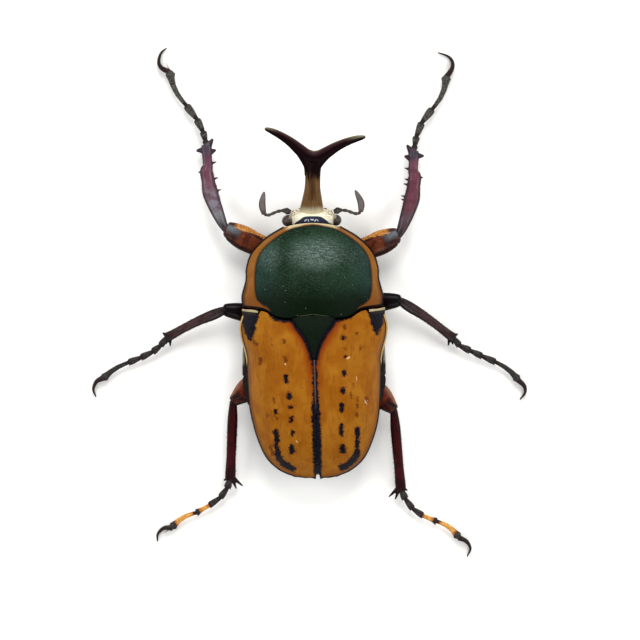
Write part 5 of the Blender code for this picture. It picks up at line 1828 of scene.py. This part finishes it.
# %% One hair
def add_hair(bm, root, lean, length, width):
    """One hair, a thin cone that leans away from the plate."""
    lean = Vector(lean).normalized()
    turn = lean.to_track_quat("Z", "Y").to_matrix().to_4x4()
    place = Matrix.Translation(Vector(root) + lean * length * 0.4) @ turn
    bmesh.ops.create_cone(bm, cap_ends=True, segments=4, radius1=width / 2, radius2=width * 0.1,
                          depth=length, matrix=place)


tried = bmesh.new()
add_hair(tried, (0, 0, 0), (0, 1, 0), 0.5, 0.05)
print("one hair has", len(tried.faces), "faces")
tried.free()

# %% [markdown]
# The fore breast is a keeled plate under the shield. It follows the shield's outline a little further in,
# so a divided cube is pushed into place: its sides to the outline, its top to the edge of the shield.

# %% The fore breast
BREAST_ENDS = (15.5, 5.0)
BREAST_INSET = 0.6
BREAST_RIM = 0.6
BREAST_KEEL = profile((5.0, 1.4), (8.0, 1.0), (12.0, 1.1), (14.0, 2.0), (15.5, 3.4))


def breast_top(y):
    return SHIELD_EDGE(y) - BREAST_INSET


def breast_depth(y, across, keel):
    """How far the fore breast reaches below its top, most at the middle, where across is 0."""
    return BREAST_RIM + (breast_top(y) - BREAST_RIM - keel) * (1 - abs(across) ** 1.7)


def make_fore_breast():
    bm = new_block(30)
    for vert in bm.verts:
        u, s, t = vert.co
        y = BREAST_ENDS[0] + (BREAST_ENDS[1] - BREAST_ENDS[0]) * s
        across = math.sin((2 * u - 1) * math.pi / 2)
        z = breast_top(y) - breast_depth(y, across, BREAST_KEEL(y)) * (1 - t)
        vert.co = (across * (SHIELD_HALF_WIDTH(y) - BREAST_INSET), y, z)
    deliver(bm, "fore_breast", plate_black, "black_shell", "prosternum")


make_fore_breast()

# %% The breastplate
FRONT_PROCESS = ((0, 3.5, 1.3), (1.2, 1.25, 1.0))


def make_breastplate():
    """The broad plate under the wing cases, with its blunt process and a fine groove along the middle."""
    rings = [trunk_ring(y, roof=False) for y in np.linspace(4.6, 2.85, 6)]
    rings += [trunk_ring(y) for y in np.linspace(2.7, -5.1, 22)]
    bm = bmesh.new()
    add_loft(bm, rings)
    add_ball(bm, *FRONT_PROCESS)
    melt(bm, 0.16, 2)
    for vert in bm.verts:
        x, y, z = vert.co
        if z < 4.5 and vert.normal.z < -0.3:
            vert.co.z += 0.1 * math.exp(-(x**2) / 0.03) * blend(1.5, 0.5, y)
            vert.co.z = max(vert.co.z, 0)
    deliver(bm, "breastplate", plate_black, "black_shell", "metathorax")


make_breastplate()

# %% The belly plates and the last plate
BELLY_PLATES = 6
BELLY_ENDS = (-5.0, -17.6)
# Along one plate: share of its length, and how far the section is drawn in.
PLATE_STEPS = ((0, 0.16), (0.08, 0.12), (0.18, 0.02), (0.4, -0.02), (0.7, 0), (0.92, 0.0), (0.985, 0.06))
LAST_PLATE_ROWS = (
    (-17.7, 4.4, 2.0, 4.95), (-18.4, 4.05, 2.25, 4.75), (-18.9, 3.3, 2.75, 4.4), (-19.15, 2.1, 3.2, 4.1),
    (-19.25, 0.6, 3.5, 3.9),
)


def make_belly():
    length = (BELLY_ENDS[1] - BELLY_ENDS[0]) / BELLY_PLATES
    rings = []
    for plate in range(BELLY_PLATES):
        front = BELLY_ENDS[0] + plate * length
        for share, tuck in PLATE_STEPS:
            rings.append(trunk_ring(front + length * share, tuck))
    rings.append(trunk_ring(BELLY_ENDS[1], 0.22))
    bm = bmesh.new()
    add_loft(bm, rings)
    deliver(bm, "belly_plates", plate_black, "black_shell", "abdomen")


def make_oval_loft(name, rows, count, *nodes):
    """A black piece drawn through rows of (y, half width, lowest, highest)."""
    bm = bmesh.new()
    add_loft(bm, [oval_ring(*row) for row in smooth_through(rows, count)])
    deliver(bm, name, plate_black, "black_shell", *nodes)


make_belly()
make_oval_loft("last_plate", LAST_PLATE_ROWS, 16, "pygidium")

# %% [markdown]
# A dark neck joins the fore breast to the breastplate. It is nearly hidden, but without it light would
# show between the two halves of the trunk from the side.

# %% The waist
WAIST_ROWS = ((6.4, 6.2, 3.0, 8.7), (5.7, 6.9, 2.6, 9.2), (4.9, 7.1, 2.5, 9.3), (4.0, 6.6, 2.8, 8.9))
make_oval_loft("waist", WAIST_ROWS, 12)

# %% [markdown]
# A hip is an egg-shaped joint that lies flat in the breast and carries the thigh. A ball drawn out
# sideways is enough, with a fine groove round it where the joint turns.

# %% The hips
COXA = {
    "front": ((3.1, 11.5, 2.35), (2.3, 1.35, 1.5), 10),
    "middle": ((3.5, 2.0, 1.35), (1.7, 1.3, 1.1), 20),
    "hind": ((4.6, -4.4, 1.35), (4.0, 1.3, 1.15), -8),
}


def make_hip(leg, side, word):
    (x, y, z), radii, turn = COXA[leg]
    centre = Vector((side * x, y, z))
    bm = bmesh.new()
    add_ball(bm, centre, radii, side * turn, 48, 30)
    for vert in bm.verts:
        groove = math.exp(-((vert.co.y - y + 0.45) ** 2) / 0.03)
        vert.co += (centre - vert.co) * 0.05 * groove
    deliver(bm, "hip_" + leg + "_" + word, plate_black, "black_shell", "coxa_" + leg + "_" + word)


for leg in COXA:
    for side, word in SIDES:
        make_hip(leg, side, word)

# %% [markdown]
# The mouth is a chin plate with two jaws and two jointed palps, and a brush of orange hair between them
# that laps up sap. The hard parts are melted into one skin, and the brush is set in as single hairs.

# %% The mouth
PALP = (
    (1.0, 17.2, 2.1, 0.4, 0.4), (1.45, 17.45, 2.05, 0.62, 0.55), (1.8, 17.7, 2.05, 0.34, 0.34),
    (1.95, 18.0, 2.1, 0.6, 0.52), (2.0, 18.3, 2.15, 0.34, 0.34), (1.85, 18.6, 2.25, 0.6, 0.5),
    (1.7, 18.9, 2.4, 0.2, 0.2),
)
JAW = ((0.7, 17.4, 2.7, 1.3, 1.0), (0.8, 18.2, 2.9, 1.1, 0.9), (0.6, 18.7, 3.2, 0.6, 0.6))


def make_mouth():
    bm = bmesh.new()
    add_ball(bm, (0, 17.0, 2.25), (1.6, 1.25, 0.55))
    for side in (-1, 1):
        add_tube(bm, smooth_stations(on_side(side, PALP), 30), 14)
        add_tube(bm, smooth_stations(on_side(side, JAW), 10), 16)
    melt(bm, 0.08, 3)
    deliver(bm, "mouth", plate_black, "black_shell", "mouthparts")


def make_mouth_brush():
    bm = bmesh.new()
    for _ in range(220):
        x = random.uniform(-1.1, 1.1)
        root = (x, random.uniform(18.1, 18.7), random.uniform(2.6, 3.3))
        lean = (x * 0.25 + random.uniform(-0.15, 0.15), 1, random.uniform(-0.5, 0.1))
        add_hair(bm, root, lean, random.uniform(0.6, 1.0), 0.05)
    deliver(bm, "mouth_brush", hair_straw, "black_shell")


make_mouth()
make_mouth_brush()

# %% [markdown]
# Short hair fringes the breast and the inner edges of the shins, and two bristles stand between the
# claws. The breast's hair grows in two fields: along the breastplate and under the sides of the shield.

# %% Hair of the underside and the legs
BREAST_HAIR_WIDTH = 0.045
HAIR_KEEL = 1.4


def make_breast_hair():
    bm = bmesh.new()
    for _ in range(900):
        side = random.choice((-1, 1))
        y = random.uniform(-4.6, 2.4)
        x, _, z = trunk_ring(y)[random.randint(10, 17)]
        lean = (side, random.uniform(-1.2, -0.4), random.uniform(-0.7, 0.1))
        add_hair(bm, (side * x, y, z), lean, random.uniform(0.35, 0.7), BREAST_HAIR_WIDTH)
    for _ in range(500):
        side = random.choice((-1, 1))
        y = random.uniform(6.0, 14.5)
        x = SHIELD_HALF_WIDTH(y) * random.uniform(0.75, 0.92)
        across = min(x / (SHIELD_HALF_WIDTH(y) - BREAST_INSET), 1)
        root = (side * x, y, breast_top(y) - breast_depth(y, across, HAIR_KEEL))
        lean = (side * 0.6, random.uniform(-0.8, -0.2), -0.8)
        add_hair(bm, root, lean, random.uniform(0.4, 0.7), BREAST_HAIR_WIDTH)
    deliver(bm, "breast_hair", hair_straw, "black_shell")


def make_leg_hair():
    """Short stiff hair along the inner edge of each shin, and two bristles between the claws."""
    bm = bmesh.new()
    for name, pose in LEG_POSE.items():
        leg, word = name.split("_")
        outer = outer_side(leg, word)
        shares, _, widths = zip(*LEG_SHAPE[leg]["shin"])
        for _ in range(60):
            t = random.uniform(0.3, 0.95)
            half = float(np.interp(t, shares, widths)) / 2
            away = -outer if random.random() < 0.7 else outer
            root = shin_point(leg, word, t) + away * half * 0.92 + UP * random.uniform(-0.3, 0.15)
            ahead = (shin_point(leg, word, 1) - shin_point(leg, word, 0)).normalized()
            add_hair(bm, root, away + ahead * random.uniform(0.8, 1.6), random.uniform(0.2, 0.45), 0.05)
        end, before = Vector(pose["foot"][-1]), Vector(pose["foot"][-2])
        ahead = (end - before).normalized()
        for spread in (-0.15, 0.1):
            lean = ahead + ahead.cross(UP) * spread - UP * 0.1
            add_hair(bm, end + ahead * 0.35, lean, 1.0, 0.09)
    deliver(bm, "leg_hair", hair_straw, "foot")


make_breast_hair()
make_leg_hair()
